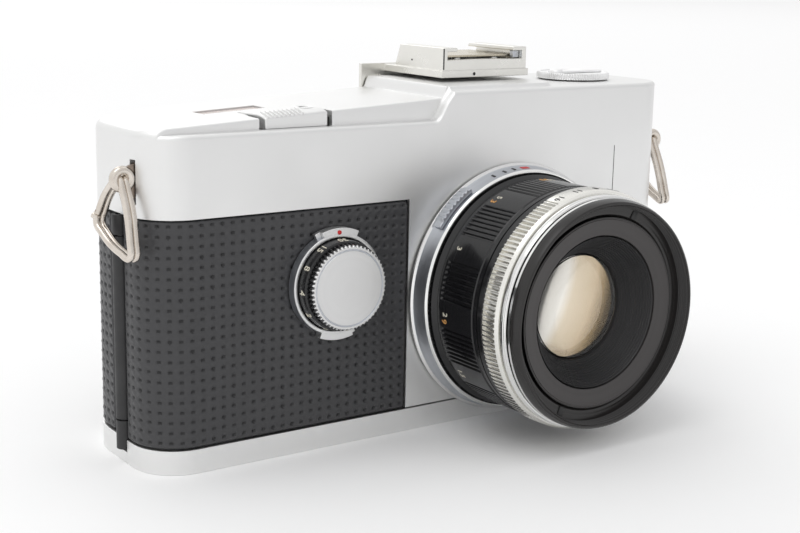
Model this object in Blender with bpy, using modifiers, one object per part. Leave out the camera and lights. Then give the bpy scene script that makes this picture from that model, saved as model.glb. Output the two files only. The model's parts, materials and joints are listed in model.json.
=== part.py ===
"""Half frame single-lens reflex camera, modelled as an assembly of separate pieces.

Frame: X to the viewer's right as seen from the front, Y to the back, Z up.
The origin lies under the middle of the body, on the plane it stands on.
Lengths below are millimetres; MM turns them into metres when a shape is made.
"""
import math

import bmesh
import bpy
from mathutils import Matrix, Vector

MM = 0.001
GAP = 0.3

# Body shell
WIDTH = 126.2
DEPTH = 31.5
FRONT = -DEPTH / 2
BACK = DEPTH / 2
CORNER_FRONT = 9.0
CORNER_REAR = 11.0
BASE_TOP = 4.7
BODY_LOW = BASE_TOP + GAP
BODY_TOP = 47.6
COVER_LOW = BODY_TOP + GAP
COVER_WALL = 1.1
LEDGE_Z = 63.0
RISER_Y = -13.25
DECK_SLOPE = 0.052
DECK_Z0 = 67.2
STRIP_Z = 68.7
PAD_Z = 69.5
STEP_X = 2.0
PAD_RIGHT = 31.4
PAD_FRONT = -14.2

# Optical axis and lens, distances counted forward from the body's middle plane
LENS_X = 18.8
LENS_Z = 27.4
FLANGE_AT = 16.45
FILM_PLANE = 12.5
REAR_RING_FRONT = 20.75
FOCUS_FRONT = 36.6
APERTURE_FRONT = 41.3
TRIM_FRONT = 43.0
LENS_FRONT = 46.3
FRONT_GLASS_R = 10.4
LENS_STEPS = 44

# Speed dial on the front
DIAL_X = -25.1
DIAL_Z = 33.2
DIAL_BASE_R = 9.85
DIAL_BASE_FRONT = 18.1
DIAL_CAP_R = 8.3
DIAL_CAP_FRONT = 22.0

# Back door hinge
HINGE_X = -62.5
HINGE_Y = -2.2
KNUCKLE_R = 1.7
PIN_R = 0.7
PIN_BORE_R = 1.0
KNUCKLE_LOW = (2.7, 8.3)
KNUCKLE_DOOR = (8.6, 43.6)
KNUCKLE_HIGH = (43.9, 47.6)
DOOR_START_LEFT = -0.2
DOOR_START_RIGHT = 1.0

# Film transport
CASSETTE_X = 46.9
CASSETTE_Y = -1.0
CASSETTE_R = 12.7
BAY_ROOF = 46.5
SPOOL_X = -48.6
SPOOL_Y = 0.8
SPOOL_BAY_R = 11.0
SPROCKET_X = -26.0
SPROCKET_Y = 7.0
LEVER_X = -39.6
LEVER_Y = 6.6

# Shutter and finder
SHUTTER_X = LENS_X - 12.5
SHUTTER_R = 24.7
SHUTTER_FRONT = 8.7
SHUTTER_BACK = 10.1
MIRROR_X = LENS_X - 9.2
MIRROR_Y = 7.6
MIRROR_LENGTH = 20.0
SCREEN_X = LENS_X - 14.4
EYEPIECE_Z = 57.5

# Controls
BUTTON = (-38.5, -24.9, -13.2, -3.0)
WINDOW = (-44.6, -31.2, -0.4, 4.5)
SHOE_X = 19.15
RELEASE_X = LENS_X + 23.4
RELEASE_Z = LENS_Z - 16.4
LATCH_X = 48.0
TRIPOD_X = 24.0
REWIND_BUTTON_X = -26.0
LUG_X = 64.2
LUG_Y = -8.7
LUG_Z = 55.0
RING_WIRE = 0.55
RING_TOP = (-0.2, 0.6, 1.8)
RING_BACK = (4.8, 5.2, -9.4)
RING_LOW = (0.9, -9.4, -15.2)


# ---------------------------------------------------------------- scene set-up
def clear_scene():
    for obj in list(bpy.data.objects):
        bpy.data.objects.remove(obj, do_unlink=True)


def new_collection(name):
    collection = bpy.data.collections.new(name)
    bpy.context.scene.collection.children.link(collection)
    return collection


clear_scene()
PARTS = new_collection("half_frame_camera")
CUTTERS = new_collection("cutters")


def material(name, colour, roughness, metallic):
    mat = bpy.data.materials.new(name)
    mat.use_nodes = True
    shader = mat.node_tree.nodes["Principled BSDF"]
    shader.inputs["Base Color"].default_value = (*colour, 1.0)
    shader.inputs["Roughness"].default_value = roughness
    shader.inputs["Metallic"].default_value = metallic
    mat.diffuse_color = (*colour, 1.0)
    return mat


SATIN = material("satin_chrome", (0.72, 0.72, 0.71), 0.32, 1.0)
POLISHED = material("polished_nickel", (0.76, 0.74, 0.70), 0.15, 1.0)
BLACK_ENAMEL = material("black_enamel", (0.012, 0.012, 0.013), 0.2, 0.0)
BLACK_MATT = material("black_matt", (0.02, 0.02, 0.02), 0.6, 0.0)
LEATHERETTE = material("leatherette", (0.035, 0.035, 0.037), 0.55, 0.0)
STEEL = material("steel", (0.55, 0.55, 0.56), 0.3, 1.0)
GLASS = material("coated_glass", (0.75, 0.62, 0.45), 0.03, 0.0)
MIRROR = material("silvered_mirror", (0.9, 0.9, 0.9), 0.02, 1.0)
CASTING = material("cast_alloy", (0.06, 0.06, 0.06), 0.5, 0.3)
SPRING_STEEL = material("spring_steel", (0.62, 0.55, 0.42), 0.3, 1.0)


# ---------------------------------------------------------------- shape helpers
def add_object(name, mesh, mat):
    """A named part when mat is given, otherwise a cutter."""
    obj = bpy.data.objects.new(name, mesh)
    if mat is None:
        CUTTERS.objects.link(obj)
        obj.hide_render = True
        obj.display_type = "WIRE"
    else:
        PARTS.objects.link(obj)
        mesh.materials.clear()
        mesh.materials.append(mat)
    return obj


def as_tool(obj):
    """Move a shape to the cutters, for a Boolean union or cut."""
    for collection in list(obj.users_collection):
        collection.objects.unlink(obj)
    CUTTERS.objects.link(obj)
    obj.hide_render = True
    obj.display_type = "WIRE"
    return obj


def box(name, low, high, mat=None):
    bm = bmesh.new()
    bmesh.ops.create_cube(bm, size=1.0)
    size = [(b - a) * MM for a, b in zip(low, high)]
    centre = [(a + b) * 0.5 * MM for a, b in zip(low, high)]
    bmesh.ops.scale(bm, vec=Vector(size), verts=bm.verts)
    bmesh.ops.translate(bm, vec=Vector(centre), verts=bm.verts)
    mesh = bpy.data.meshes.new(name)
    bm.to_mesh(mesh)
    bm.free()
    return add_object(name, mesh, mat)


def cylinder(name, axis, centre, radius, low, high, mat=None, segments=48):
    """A solid cylinder along X, Y or Z, from low to high; centre gives the other two."""
    bm = bmesh.new()
    length = (high - low) * MM
    bmesh.ops.create_cone(bm, cap_ends=True, segments=segments, radius1=radius * MM,
                          radius2=radius * MM, depth=length)
    middle = (low + high) * 0.5 * MM
    a, b = centre[0] * MM, centre[1] * MM
    if axis == "Z":
        place = Matrix.Translation((a, b, middle))
    elif axis == "Y":
        place = Matrix.Translation((a, middle, b)) @ Matrix.Rotation(math.pi / 2, 4, "X")
    else:
        place = Matrix.Translation((middle, a, b)) @ Matrix.Rotation(math.pi / 2, 4, "Y")
    bm.transform(place)
    mesh = bpy.data.meshes.new(name)
    bm.to_mesh(mesh)
    bm.free()
    if mat is not None:
        smooth(mesh)
    return add_object(name, mesh, mat)


def smooth(mesh):
    mesh.shade_smooth()
    mesh.set_sharp_from_angle(angle=math.radians(35))


def curve_mesh(name, curve):
    """The welded mesh of a curve, in place of the curve."""
    holder = bpy.data.objects.new(name + "_outline", curve)
    bpy.context.scene.collection.objects.link(holder)
    bpy.context.view_layer.update()
    graph = bpy.context.evaluated_depsgraph_get()
    mesh = bpy.data.meshes.new_from_object(holder.evaluated_get(graph))
    bpy.data.objects.remove(holder, do_unlink=True)
    bm = bmesh.new()
    bm.from_mesh(mesh)
    bmesh.ops.remove_doubles(bm, verts=bm.verts, dist=1e-6)
    bmesh.ops.recalc_face_normals(bm, faces=bm.faces)
    bm.to_mesh(mesh)
    bm.free()
    return mesh


PLANES = {
    "XY": Matrix.Identity(4),
    "XZ": Matrix.Rotation(math.pi / 2, 4, "X"),
    "YZ": Matrix(((0, 0, 1, 0), (1, 0, 0, 0), (0, 1, 0, 0), (0, 0, 0, 1))),
}


def plate(name, outlines, low, high, mat=None, plane="XY"):
    """Outlines (the first outer, the rest holes) given thickness across their plane.

    low and high are the plate's two faces along the third axis.
    """
    curve = bpy.data.curves.new(name, "CURVE")
    curve.dimensions = "2D"
    curve.fill_mode = "BOTH"
    curve.extrude = (high - low) * 0.5 * MM
    for points in outlines:
        spline = curve.splines.new("POLY")
        spline.points.add(len(points) - 1)
        for point, (u, v) in zip(spline.points, points):
            point.co = (u * MM, v * MM, 0.0, 1.0)
        spline.use_cyclic_u = True
    mesh = curve_mesh(name, curve)
    middle = (low + high) * 0.5 * MM
    shift = {"XY": (0, 0, middle), "XZ": (0, middle, 0), "YZ": (middle, 0, 0)}[plane]
    mesh.transform(Matrix.Translation(shift) @ PLANES[plane])
    if mat is not None:
        smooth(mesh)
    return add_object(name, mesh, mat)


def turned(name, profile, centre, mat=None, facing="front", steps=40, closed=True):
    """A profile of (radius, height) turned round its axis.

    It runs down the outer side. Facing front, height counts forward from the body's
    middle plane and centre is (x, z); facing up, height is z and centre is (x, y).
    """
    mesh = bpy.data.meshes.new(name)
    points = [(r * MM, 0.0, h * MM) for r, h in profile]
    edges = [(i, i + 1) for i in range(len(points) - 1)]
    if closed:
        edges.append((len(points) - 1, 0))
    mesh.from_pydata(points, edges, [])
    obj = add_object(name, mesh, mat)
    screw = obj.modifiers.new("turn", "SCREW")
    screw.axis = "Z"
    screw.angle = math.tau
    screw.steps = steps
    screw.render_steps = steps
    screw.use_merge_vertices = True
    screw.merge_threshold = 1e-6
    screw.use_smooth_shade = True
    if facing == "front":
        obj.rotation_euler = (math.pi / 2, 0, 0)
        obj.location = (centre[0] * MM, 0, centre[1] * MM)
    else:
        obj.location = (centre[0] * MM, centre[1] * MM, 0)
    return obj


def ring_profile(inner, outer, low, high):
    return [(outer, high), (outer, low), (inner, low), (inner, high)]


def cut(obj, *tools):
    for tool in tools:
        add_boolean(obj, tool, "DIFFERENCE")
    return obj


def join(obj, *tools):
    for tool in tools:
        add_boolean(obj, tool, "UNION")
    return obj


def add_boolean(obj, tool, operation):
    as_tool(tool)
    modifier = obj.modifiers.new(operation.lower(), "BOOLEAN")
    modifier.operation = operation
    modifier.solver = "EXACT"
    modifier.object = tool


def bevel(obj, width, segments=2, angle=40):
    modifier = obj.modifiers.new("edges", "BEVEL")
    modifier.width = width * MM
    modifier.segments = segments
    modifier.limit_method = "ANGLE"
    modifier.angle_limit = math.radians(angle)
    return obj


def arc(centre, radius, start, end, steps):
    """Points on an arc, angles in degrees."""
    points = []
    for i in range(steps + 1):
        t = math.radians(start + (end - start) * i / steps)
        points.append((centre[0] + radius * math.cos(t), centre[1] + radius * math.sin(t)))
    return points


def circle(centre, radius, steps=48):
    return arc(centre, radius, 0, 360, steps)[:-1]


def body_outline(inset):
    """The shell's plan: a rectangle with round front and rear corners, pulled in."""
    x = WIDTH / 2 - CORNER_FRONT
    y = FRONT + CORNER_FRONT
    xr = WIDTH / 2 - CORNER_REAR
    yr = BACK - CORNER_REAR
    front = CORNER_FRONT - inset
    rear = CORNER_REAR - inset
    points = arc((-x, y), front, 180, 270, 8)
    points += arc((x, y), front, 270, 360, 8)
    points += arc((xr, yr), rear, 0, 90, 8)
    points += arc((-xr, yr), rear, 90, 180, 8)
    return points


def front_outline(inset, y_left, y_right):
    """The front part of the plan, back to y_left and y_right on its two sides."""
    x = WIDTH / 2 - CORNER_FRONT
    y = FRONT + CORNER_FRONT
    radius = CORNER_FRONT - inset
    points = [(-WIDTH / 2 + inset, y_left)]
    points += arc((-x, y), radius, 180, 270, 8)
    points += arc((x, y), radius, 270, 360, 8)
    points.append((WIDTH / 2 - inset, y_right))
    return points


def rear_band(outer, inner, y_left, y_right):
    """A band of the plan's rear part between two insets, open to the front."""
    xr = WIDTH / 2 - CORNER_REAR
    yr = BACK - CORNER_REAR
    points = [(WIDTH / 2 - outer, y_right)]
    points += arc((xr, yr), CORNER_REAR - outer, 0, 90, 8)
    points += arc((-xr, yr), CORNER_REAR - outer, 90, 180, 8)
    points.append((-WIDTH / 2 + outer, y_left))
    points.append((-WIDTH / 2 + inner, y_left))
    points += arc((-xr, yr), CORNER_REAR - inner, 180, 90, 8)
    points += arc((xr, yr), CORNER_REAR - inner, 90, 0, 8)
    points.append((WIDTH / 2 - inner, y_right))
    return points


def deck_z(x):
    """Height of the sloping deck above the left half."""
    return DECK_Z0 + DECK_SLOPE * (x - STEP_X)


def joint(name, point, parent=None):
    """An empty on a joint's axis, which the moving pieces hang from."""
    empty = bpy.data.objects.new(name, None)
    empty.empty_display_size = 0.005
    PARTS.objects.link(empty)
    world = Vector(point) * MM
    base = Vector(parent["world"]) if parent is not None else Vector((0, 0, 0))
    empty.parent = parent
    empty.location = world - base
    empty["world"] = world
    return empty


def hang(empty, *objects):
    """Parent pieces to a joint's empty without moving them."""
    for obj in objects:
        obj.parent = empty
        obj.location = Vector(obj.location) - Vector(empty["world"])


# ---------------------------------------------------------------- body and covers
def make_body_casting():
    body = plate("body_casting", [body_outline(2.25)], BODY_LOW, BODY_TOP, CASTING)
    front = plate("casting_front", [front_outline(1.05, -4.4, 0.6)], BODY_LOW, BODY_TOP)
    join(body, front)
    for index, (low, high) in enumerate((KNUCKLE_LOW, KNUCKLE_HIGH)):
        lug = cylinder(f"body_knuckle_{index}", "Z", (HINGE_X, HINGE_Y), KNUCKLE_R, low, high,
                       segments=24)
        web = box(f"knuckle_web_{index}", (HINGE_X, HINGE_Y - 0.9, max(low, BODY_LOW)),
                  (HINGE_X + 2.6, HINGE_Y + 0.9, high))
        join(body, web, lug)
    cutters = [
        cylinder("door_knuckle_space", "Z", (HINGE_X, HINGE_Y), KNUCKLE_R + 0.4,
                 KNUCKLE_LOW[1], KNUCKLE_HIGH[0], segments=24),
        cylinder("hinge_bore", "Z", (HINGE_X, HINGE_Y), PIN_BORE_R, 0, 60, segments=16),
        cylinder("cassette_bay", "Z", (CASSETTE_X, CASSETTE_Y), CASSETTE_R, 0, BAY_ROOF,
                 segments=40),
        box("cassette_mouth", (CASSETTE_X - CASSETTE_R, CASSETTE_Y, 0),
            (CASSETTE_X + CASSETTE_R, 20, BAY_ROOF)),
        cylinder("fork_hole", "Z", (CASSETTE_X, CASSETTE_Y), 2.6, 40, 60, segments=24),
        cylinder("spool_bay", "Z", (SPOOL_X, SPOOL_Y), SPOOL_BAY_R, 0, 60, segments=40),
        box("spool_mouth", (SPOOL_X - SPOOL_BAY_R, SPOOL_Y, 0), (SPOOL_X + SPOOL_BAY_R, 20, 60)),
        box("mirror_tunnel", (LENS_X - 12.8, FRONT + 3, LENS_Z - 13.4),
            (LENS_X + 9.5, SHUTTER_FRONT + 0.5, LENS_Z + 13.4)),
        cylinder("mount_throat", "Y", (LENS_X, LENS_Z), 17.6, FRONT - 2, FRONT + 4),
        cylinder("shutter_slot", "Y", (SHUTTER_X, LENS_Z), SHUTTER_R + 0.4, SHUTTER_FRONT,
                 SHUTTER_BACK),
        box("film_gate", (LENS_X - 9, SHUTTER_BACK - 0.5, LENS_Z - 12),
            (LENS_X + 9, 20, LENS_Z + 12)),
        box("works_bay", (-28.6, -13.5, 0), (-12, 1.2, 60)),
        box("finder_bay", (-13, -13.5, 0), (LENS_X - 16.2, 8.0, 60)),
        box("screen_opening", (LENS_X - 17, -10.9, LENS_Z - 12.3),
            (LENS_X - 12.5, 7.7, LENS_Z + 12.3)),
        box("sprocket_bay", (SPROCKET_X - 5.8, 1.0, 0), (SPROCKET_X + 5.8, 20, 60)),
        box("film_channel", (SPOOL_X, FILM_PLANE, BODY_LOW + 3), (CASSETTE_X, 20, BODY_TOP - 3)),
        cylinder("dial_shaft_bore", "Y", (DIAL_X, DIAL_Z), 2.6, FRONT - 2, FRONT + 4,
                 segments=24),
        cylinder("release_pocket", "Y", (RELEASE_X, RELEASE_Z), 2.9, FRONT - 2, FRONT + 2.2,
                 segments=24),
        cylinder("shutter_bore", "Y", (SHUTTER_X, LENS_Z), 1.6, SHUTTER_FRONT, FILM_PLANE - 0.4,
                 segments=24),
    ]
    return cut(body, *cutters)


def cover_form(name, inset, drop, low, mat=None):
    """The top cover's stepped outside, or its hollow when pulled in and dropped."""
    form = plate(name, [body_outline(inset)], low, STRIP_Z - drop, mat)
    r = 4.0 - inset
    left, right = STEP_X - 3.0, PAD_RIGHT - inset
    front = PAD_FRONT + inset
    outline = [(left, front)] + arc((right - r, front + r), r, -90, 0, 6)
    outline += [(right, BACK - inset), (left, BACK - inset)]
    pad = plate(name + "_pad", [outline], STRIP_Z - drop - 2.0, PAD_Z - drop)
    far = -80.0
    roof = [(far, deck_z(far) - drop), (STEP_X + inset, deck_z(STEP_X) - drop),
            (STEP_X + 0.8 + inset, PAD_Z), (STEP_X + 0.8 + inset, 80), (far, 80)]
    roof_cut = plate(name + "_roof", [roof], -30, 30, plane="XZ")
    ledge = [(far, LEDGE_Z - drop), (STEP_X - 3.4 + inset, LEDGE_Z - drop),
             (STEP_X + 1.6 + inset, STRIP_Z), (STEP_X + 1.6 + inset, 80), (far, 80)]
    ledge_cut = plate(name + "_ledge", [ledge], -30, RISER_Y + inset, plane="XZ")
    join(form, pad)
    return cut(form, roof_cut, ledge_cut)


def make_top_cover():
    cover = cover_form("top_cover", 0.0, 0.0, COVER_LOW, SATIN)
    apron = box("apron", (LENS_X - 26.2, FRONT, BODY_LOW), (46.7, FRONT + 0.7, COVER_LOW + 1))
    hollow = cover_form("cover_hollow", COVER_WALL, COVER_WALL, COVER_LOW - 3)
    cut(cover, hollow)
    join(cover, apron)
    x0, x1, y0, y1 = BUTTON
    wx0, wx1, wy0, wy1 = WINDOW
    cutters = [
        box("button_slot", (x0 - 0.4, y0 - 0.3, 60), (x1 + 0.4, y1 + 0.3, 75)),
        box("window_slot", (wx0, wy0, 60), (wx1, wy1, 75)),
        box("lever_slot", (-58.5, 9.0, 52.4), (-17.0, 20, 56.8)),
        cylinder("eyepiece_hole", "Y", (LENS_X, EYEPIECE_Z), 8.3, 12, 20),
        cylinder("knob_hole", "Z", (CASSETTE_X, CASSETTE_Y), 2.6, 60, 75, segments=24),
        cylinder("mount_hole", "Y", (LENS_X, LENS_Z), 20.2, FRONT - 2, FRONT + 1),
        cylinder("release_hole", "Y", (RELEASE_X, RELEASE_Z), 2.9, FRONT - 2, FRONT + 1,
                 segments=24),
        cylinder("sync_hole", "X", (4.0, 56.0), 2.7, 60, 66, segments=24),
    ]
    for side in (-1, 1):
        a, b = sorted((side * 60, side * 66))
        cutters.append(box(f"lug_slot_{side}", (a, LUG_Y - 0.8, LUG_Z - 4.7),
                           (b, LUG_Y + 0.8, LUG_Z + 3.4)))
    return cut(cover, *cutters)


def make_base_plate():
    base = bevel(plate("base_plate", [body_outline(0)], 0, BASE_TOP, SATIN), 0.5)
    hollow = plate("base_hollow", [body_outline(1.2)], 1.3, BASE_TOP + 2)
    notch = cylinder("hinge_notch", "Z", (HINGE_X, HINGE_Y), KNUCKLE_R + 0.4, 2.3, 6, segments=24)
    tripod = cylinder("tripod_hole", "Z", (TRIPOD_X, 0), 6.4, -1, 6, segments=40)
    latch = cylinder("latch_hole", "Z", (LATCH_X, 0), 7.4, -1, 3, segments=40)
    button = cylinder("rewind_button_hole", "Z", (REWIND_BUTTON_X, 4), 2.4, -1, 3, segments=24)
    boss = cylinder("tripod_boss", "Z", (TRIPOD_X, 0), 8.4, 0.8, 3.6)
    rest = box("hinge_boss", (-WIDTH / 2 + 0.6, HINGE_Y - 3.3, 0.9),
               (HINGE_X + 3.3, HINGE_Y + 3.3, BASE_TOP - 0.3))
    cut(base, hollow)
    join(base, boss, rest)
    return cut(base, notch, tripod, latch, button)


def leather_strip(name, points):
    return plate(name, [points], BODY_LOW + 0.1, BODY_TOP, LEATHERETTE)


def make_front_leather():
    outer, inner = 0.05, 0.7
    x, y = WIDTH / 2 - CORNER_FRONT, FRONT + CORNER_FRONT
    stop = LENS_X - 26.2 - GAP
    left = [(stop, FRONT + inner), (stop, FRONT + outer)]
    left += arc((-x, y), CORNER_FRONT - outer, 270, 180, 8)
    left += [(-WIDTH / 2 + outer, -4.3), (-WIDTH / 2 + inner, -4.3)]
    left += arc((-x, y), CORNER_FRONT - inner, 180, 270, 8)
    leather = leather_strip("front_leather_left", left)
    cut(leather, cylinder("dial_hole", "Y", (DIAL_X, DIAL_Z), DIAL_BASE_R - 1.2, FRONT - 2,
                          FRONT + 2))
    start = 46.7 + GAP
    right = [(start, FRONT + inner), (start, FRONT + outer)]
    right += arc((x, y), CORNER_FRONT - outer, 270, 360, 8)
    right += [(WIDTH / 2 - outer, 0.4), (WIDTH / 2 - inner, 0.4)]
    right += arc((x, y), CORNER_FRONT - inner, 360, 270, 8)
    leather_strip("front_leather_right", right)


def make_base_fittings():
    turned("tripod_socket", ring_profile(3.2, 6.1, 0.1, 4.4), (TRIPOD_X, 0), STEEL, "up", 32)
    body = joint("rewind_button_joint", (REWIND_BUTTON_X, 4, 0))
    stud = [(0, 4.0), (2.0, 4.0), (2.0, 2.6), (3.2, 2.6), (3.2, 1.6), (2.0, 1.6), (2.0, 0.2),
            (0, 0.2)]
    hang(body, turned("rewind_release_button", stud, (REWIND_BUTTON_X, 4), STEEL, "up", 24,
                      closed=False))


def make_latch():
    turn = joint("latch_joint", (LATCH_X, 0, 0))
    disc = cylinder("latch_disc", "Z", (LATCH_X, 0), 7.1, 0.7, 2.0, STEEL, segments=40)
    stem = cylinder("latch_stem", "Z", (LATCH_X, 0), 3.0, 1.9, 4.4, segments=24)
    key = box("latch_key", (LATCH_X - 1.2, 0, 3.4), (LATCH_X + 1.2, 9.5, 4.4))
    join(disc, stem, key)
    hang(turn, disc)
    fold = joint("latch_handle_joint", (LATCH_X, -0.4, 0.25), turn)
    outline = arc((LATCH_X, -0.4), 6.4, 180, 360, 14) + arc((LATCH_X, -0.4), 4.6, 360, 180, 12)
    handle = plate("latch_handle", [outline], 0.1, 0.4, STEEL)
    bar = box("handle_bar", (LATCH_X - 6.2, -0.75, 0.1), (LATCH_X + 6.2, -0.05, 0.4))
    join(handle, bar)
    hang(fold, handle)


# ---------------------------------------------------------------- back door
def make_back_door():
    swing = joint("door_joint", (HINGE_X, HINGE_Y, 26))
    band = rear_band(0.9, 1.9, DOOR_START_LEFT, DOOR_START_RIGHT)
    door = plate("back_door", [band], BODY_LOW + 0.1, BODY_TOP - 0.1, CASTING)
    low, high = KNUCKLE_DOOR
    knuckle = cylinder("door_knuckle", "Z", (HINGE_X, HINGE_Y), KNUCKLE_R, low, high, segments=24)
    web = box("door_web", (HINGE_X - 0.4, HINGE_Y, low), (HINGE_X + 1.2, 0.8, high))
    catch = box("door_catch", (LATCH_X - 3, BACK - 4.0, BODY_LOW + 0.1),
                (LATCH_X + 3, BACK - 1.4, BODY_LOW + 1.4))
    join(door, web, knuckle, catch)
    clear = [cylinder(f"knuckle_clear_{i}", "Z", (HINGE_X, HINGE_Y), KNUCKLE_R + 0.35, a, b,
                      segments=24)
             for i, (a, b) in enumerate(((0, low), (high, 60)))]
    bore = cylinder("door_bore", "Z", (HINGE_X, HINGE_Y), PIN_BORE_R, 0, 60, segments=16)
    cut(door, bore, *clear)
    skin = rear_band(0.1, 0.6, DOOR_START_LEFT + 1.4, DOOR_START_RIGHT + 0.2)
    leather = plate("door_leather", [skin], BODY_LOW + 0.3, BODY_TOP - 0.3, LEATHERETTE)
    gate = bevel(box("pressure_plate", (LENS_X - 15, FILM_PLANE + 0.2, LENS_Z - 17),
                     (LENS_X + 13, FILM_PLANE + 0.9, LENS_Z + 17), STEEL), 0.2, 1)
    hang(swing, door, leather, gate)
    cylinder("hinge_pin", "Z", (HINGE_X, HINGE_Y), PIN_R, 5.2, 47.4, STEEL, segments=16)


# ---------------------------------------------------------------- strap fittings
def make_strap_fittings():
    for side, name in ((-1, "left"), (1, "right")):
        x = side * LUG_X
        root = side * (WIDTH / 2 - 1.7)
        ear = [(root, LUG_Z - 4.4), (root, LUG_Z + 3.1)]
        ear += arc((x, LUG_Z), 2.1, 120 if side < 0 else 60, 240 if side < 0 else -60, 8)
        hole = circle((x, LUG_Z), 1.3, 16)
        plate(f"strap_lug_{name}", [ear, hole], LUG_Y - 0.4, LUG_Y + 0.4, STEEL, "XZ")
        hinge = joint(f"strap_ring_joint_{name}", (x, LUG_Y, LUG_Z))
        hang(hinge, strap_ring(f"strap_ring_{name}", side, x))


def strap_ring(name, side, x):
    """A triangular wire ring through the lug's hole, hanging just off the body's side."""
    centre = Vector((x, LUG_Y, LUG_Z))
    corners = [centre + Vector((side * u, v, w)) for u, v, w in (RING_TOP, RING_BACK, RING_LOW)]
    rounding = (3.4, 2.4, 4.2)
    points = []
    for i, tip in enumerate(corners):
        before = (corners[i - 1] - tip).normalized()
        after = (corners[(i + 1) % 3] - tip).normalized()
        start = tip + before * rounding[i]
        end = tip + after * rounding[i]
        for k in range(6):
            t = k / 5
            points.append(start * (1 - t) ** 2 + tip * 2 * t * (1 - t) + end * t ** 2)
    curve = bpy.data.curves.new(name, "CURVE")
    curve.dimensions = "3D"
    curve.bevel_depth = RING_WIRE * MM
    curve.bevel_resolution = 2
    spline = curve.splines.new("POLY")
    spline.points.add(len(points) - 1)
    for point, place in zip(spline.points, points):
        point.co = (*(place * MM), 1.0)
    spline.use_cyclic_u = True
    mesh = curve_mesh(name, curve)
    smooth(mesh)
    return add_object(name, mesh, POLISHED)


# ---------------------------------------------------------------- top controls
def make_shutter_button():
    x0, x1, y0, y1 = BUTTON
    top = deck_z((x0 + x1) / 2)
    side = [(y0, 61.5), (y1, 61.5), (y1, top + 0.9), (y0 + 3.4, top + 0.9), (y0, top - 0.1)]
    press = joint("shutter_button_joint", ((x0 + x1) / 2, (y0 + y1) / 2, top))
    button = plate("shutter_button", [side], x0, x1, SATIN, "YZ")
    dish = cylinder("release_dish", "Z", (x1 - 2.7, y0 + 4.2), 1.9, top - 0.2, top + 3,
                    segments=24)
    stem = cylinder("button_stem", "Z", ((x0 + x1) / 2, -8.1), 1.2, 50.2, 62.0, segments=16)
    join(button, stem)
    cut(button, dish)
    hang(press, button)
    coil("release_spring", ((x0 + x1) / 2, -8.1), 2.3, 0.3, 47.9, 61.2, 4)


def coil(name, centre, radius, wire, low, high, turns):
    """A compression spring on its stem."""
    curve = bpy.data.curves.new(name, "CURVE")
    curve.dimensions = "3D"
    curve.bevel_depth = wire * MM
    curve.bevel_resolution = 1
    curve.use_fill_caps = True
    per_turn = 10
    spline = curve.splines.new("POLY")
    spline.points.add(turns * per_turn)
    for i, point in enumerate(spline.points):
        t = math.tau * i / per_turn
        height = low + wire + (high - low - 2 * wire) * i / (turns * per_turn)
        point.co = ((centre[0] + radius * math.cos(t)) * MM,
                    (centre[1] + radius * math.sin(t)) * MM, height * MM, 1.0)
    mesh = curve_mesh(name, curve)
    smooth(mesh)
    return add_object(name, mesh, SPRING_STEEL)


def make_counter():
    wx0, wx1, wy0, wy1 = WINDOW
    middle = (wx0 + wx1) / 2
    glass = box("counter_window", (wx0 + 0.3 - middle, wy0 + 0.3, -0.4),
                (wx1 - 0.3 - middle, wy1 - 0.3, 0.3), GLASS)
    tilt = Matrix.Rotation(-math.atan(DECK_SLOPE), 4, "Y")
    place = Matrix.Translation((middle * MM, 0, (deck_z(middle) - 0.6) * MM))
    glass.data.transform(place @ tilt)
    spin = joint("counter_joint", (LEVER_X, LEVER_Y, 61))
    hang(spin, turned("counter_disc", ring_profile(2.4, 7.7, 61.4, 62.0), (LEVER_X, LEVER_Y),
                      BLACK_MATT, "up", 40))


def make_wind_lever():
    turn = joint("wind_lever_joint", (LEVER_X, LEVER_Y, 54.6))
    rest = math.radians(32)
    along = Vector((math.cos(rest), math.sin(rest)))
    across = Vector((-along.y, along.x))

    def at(distance, side):
        p = Vector((LEVER_X, LEVER_Y)) + along * distance + across * side
        return (p.x, p.y)

    arm = [at(0, -3.6), at(15.5, -2.0), at(19.5, -0.6), at(21.4, 2.6), at(19.4, 3.2),
           at(16.5, 1.8), at(0, 3.6)]
    lever = plate("wind_lever", [arm], 53.2, 55.8, SATIN)
    hub = cylinder("lever_hub", "Z", (LEVER_X, LEVER_Y), 5.2, 53.2, 55.8, segments=32)
    join(lever, hub)
    cut(lever, cylinder("lever_bore", "Z", (LEVER_X, LEVER_Y), 2.3, 50, 58, segments=24))
    shaft = cylinder("wind_shaft", "Z", (LEVER_X, LEVER_Y), 2.0, 48.2, 63.2, STEEL, segments=24)
    hang(turn, lever, shaft)


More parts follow.
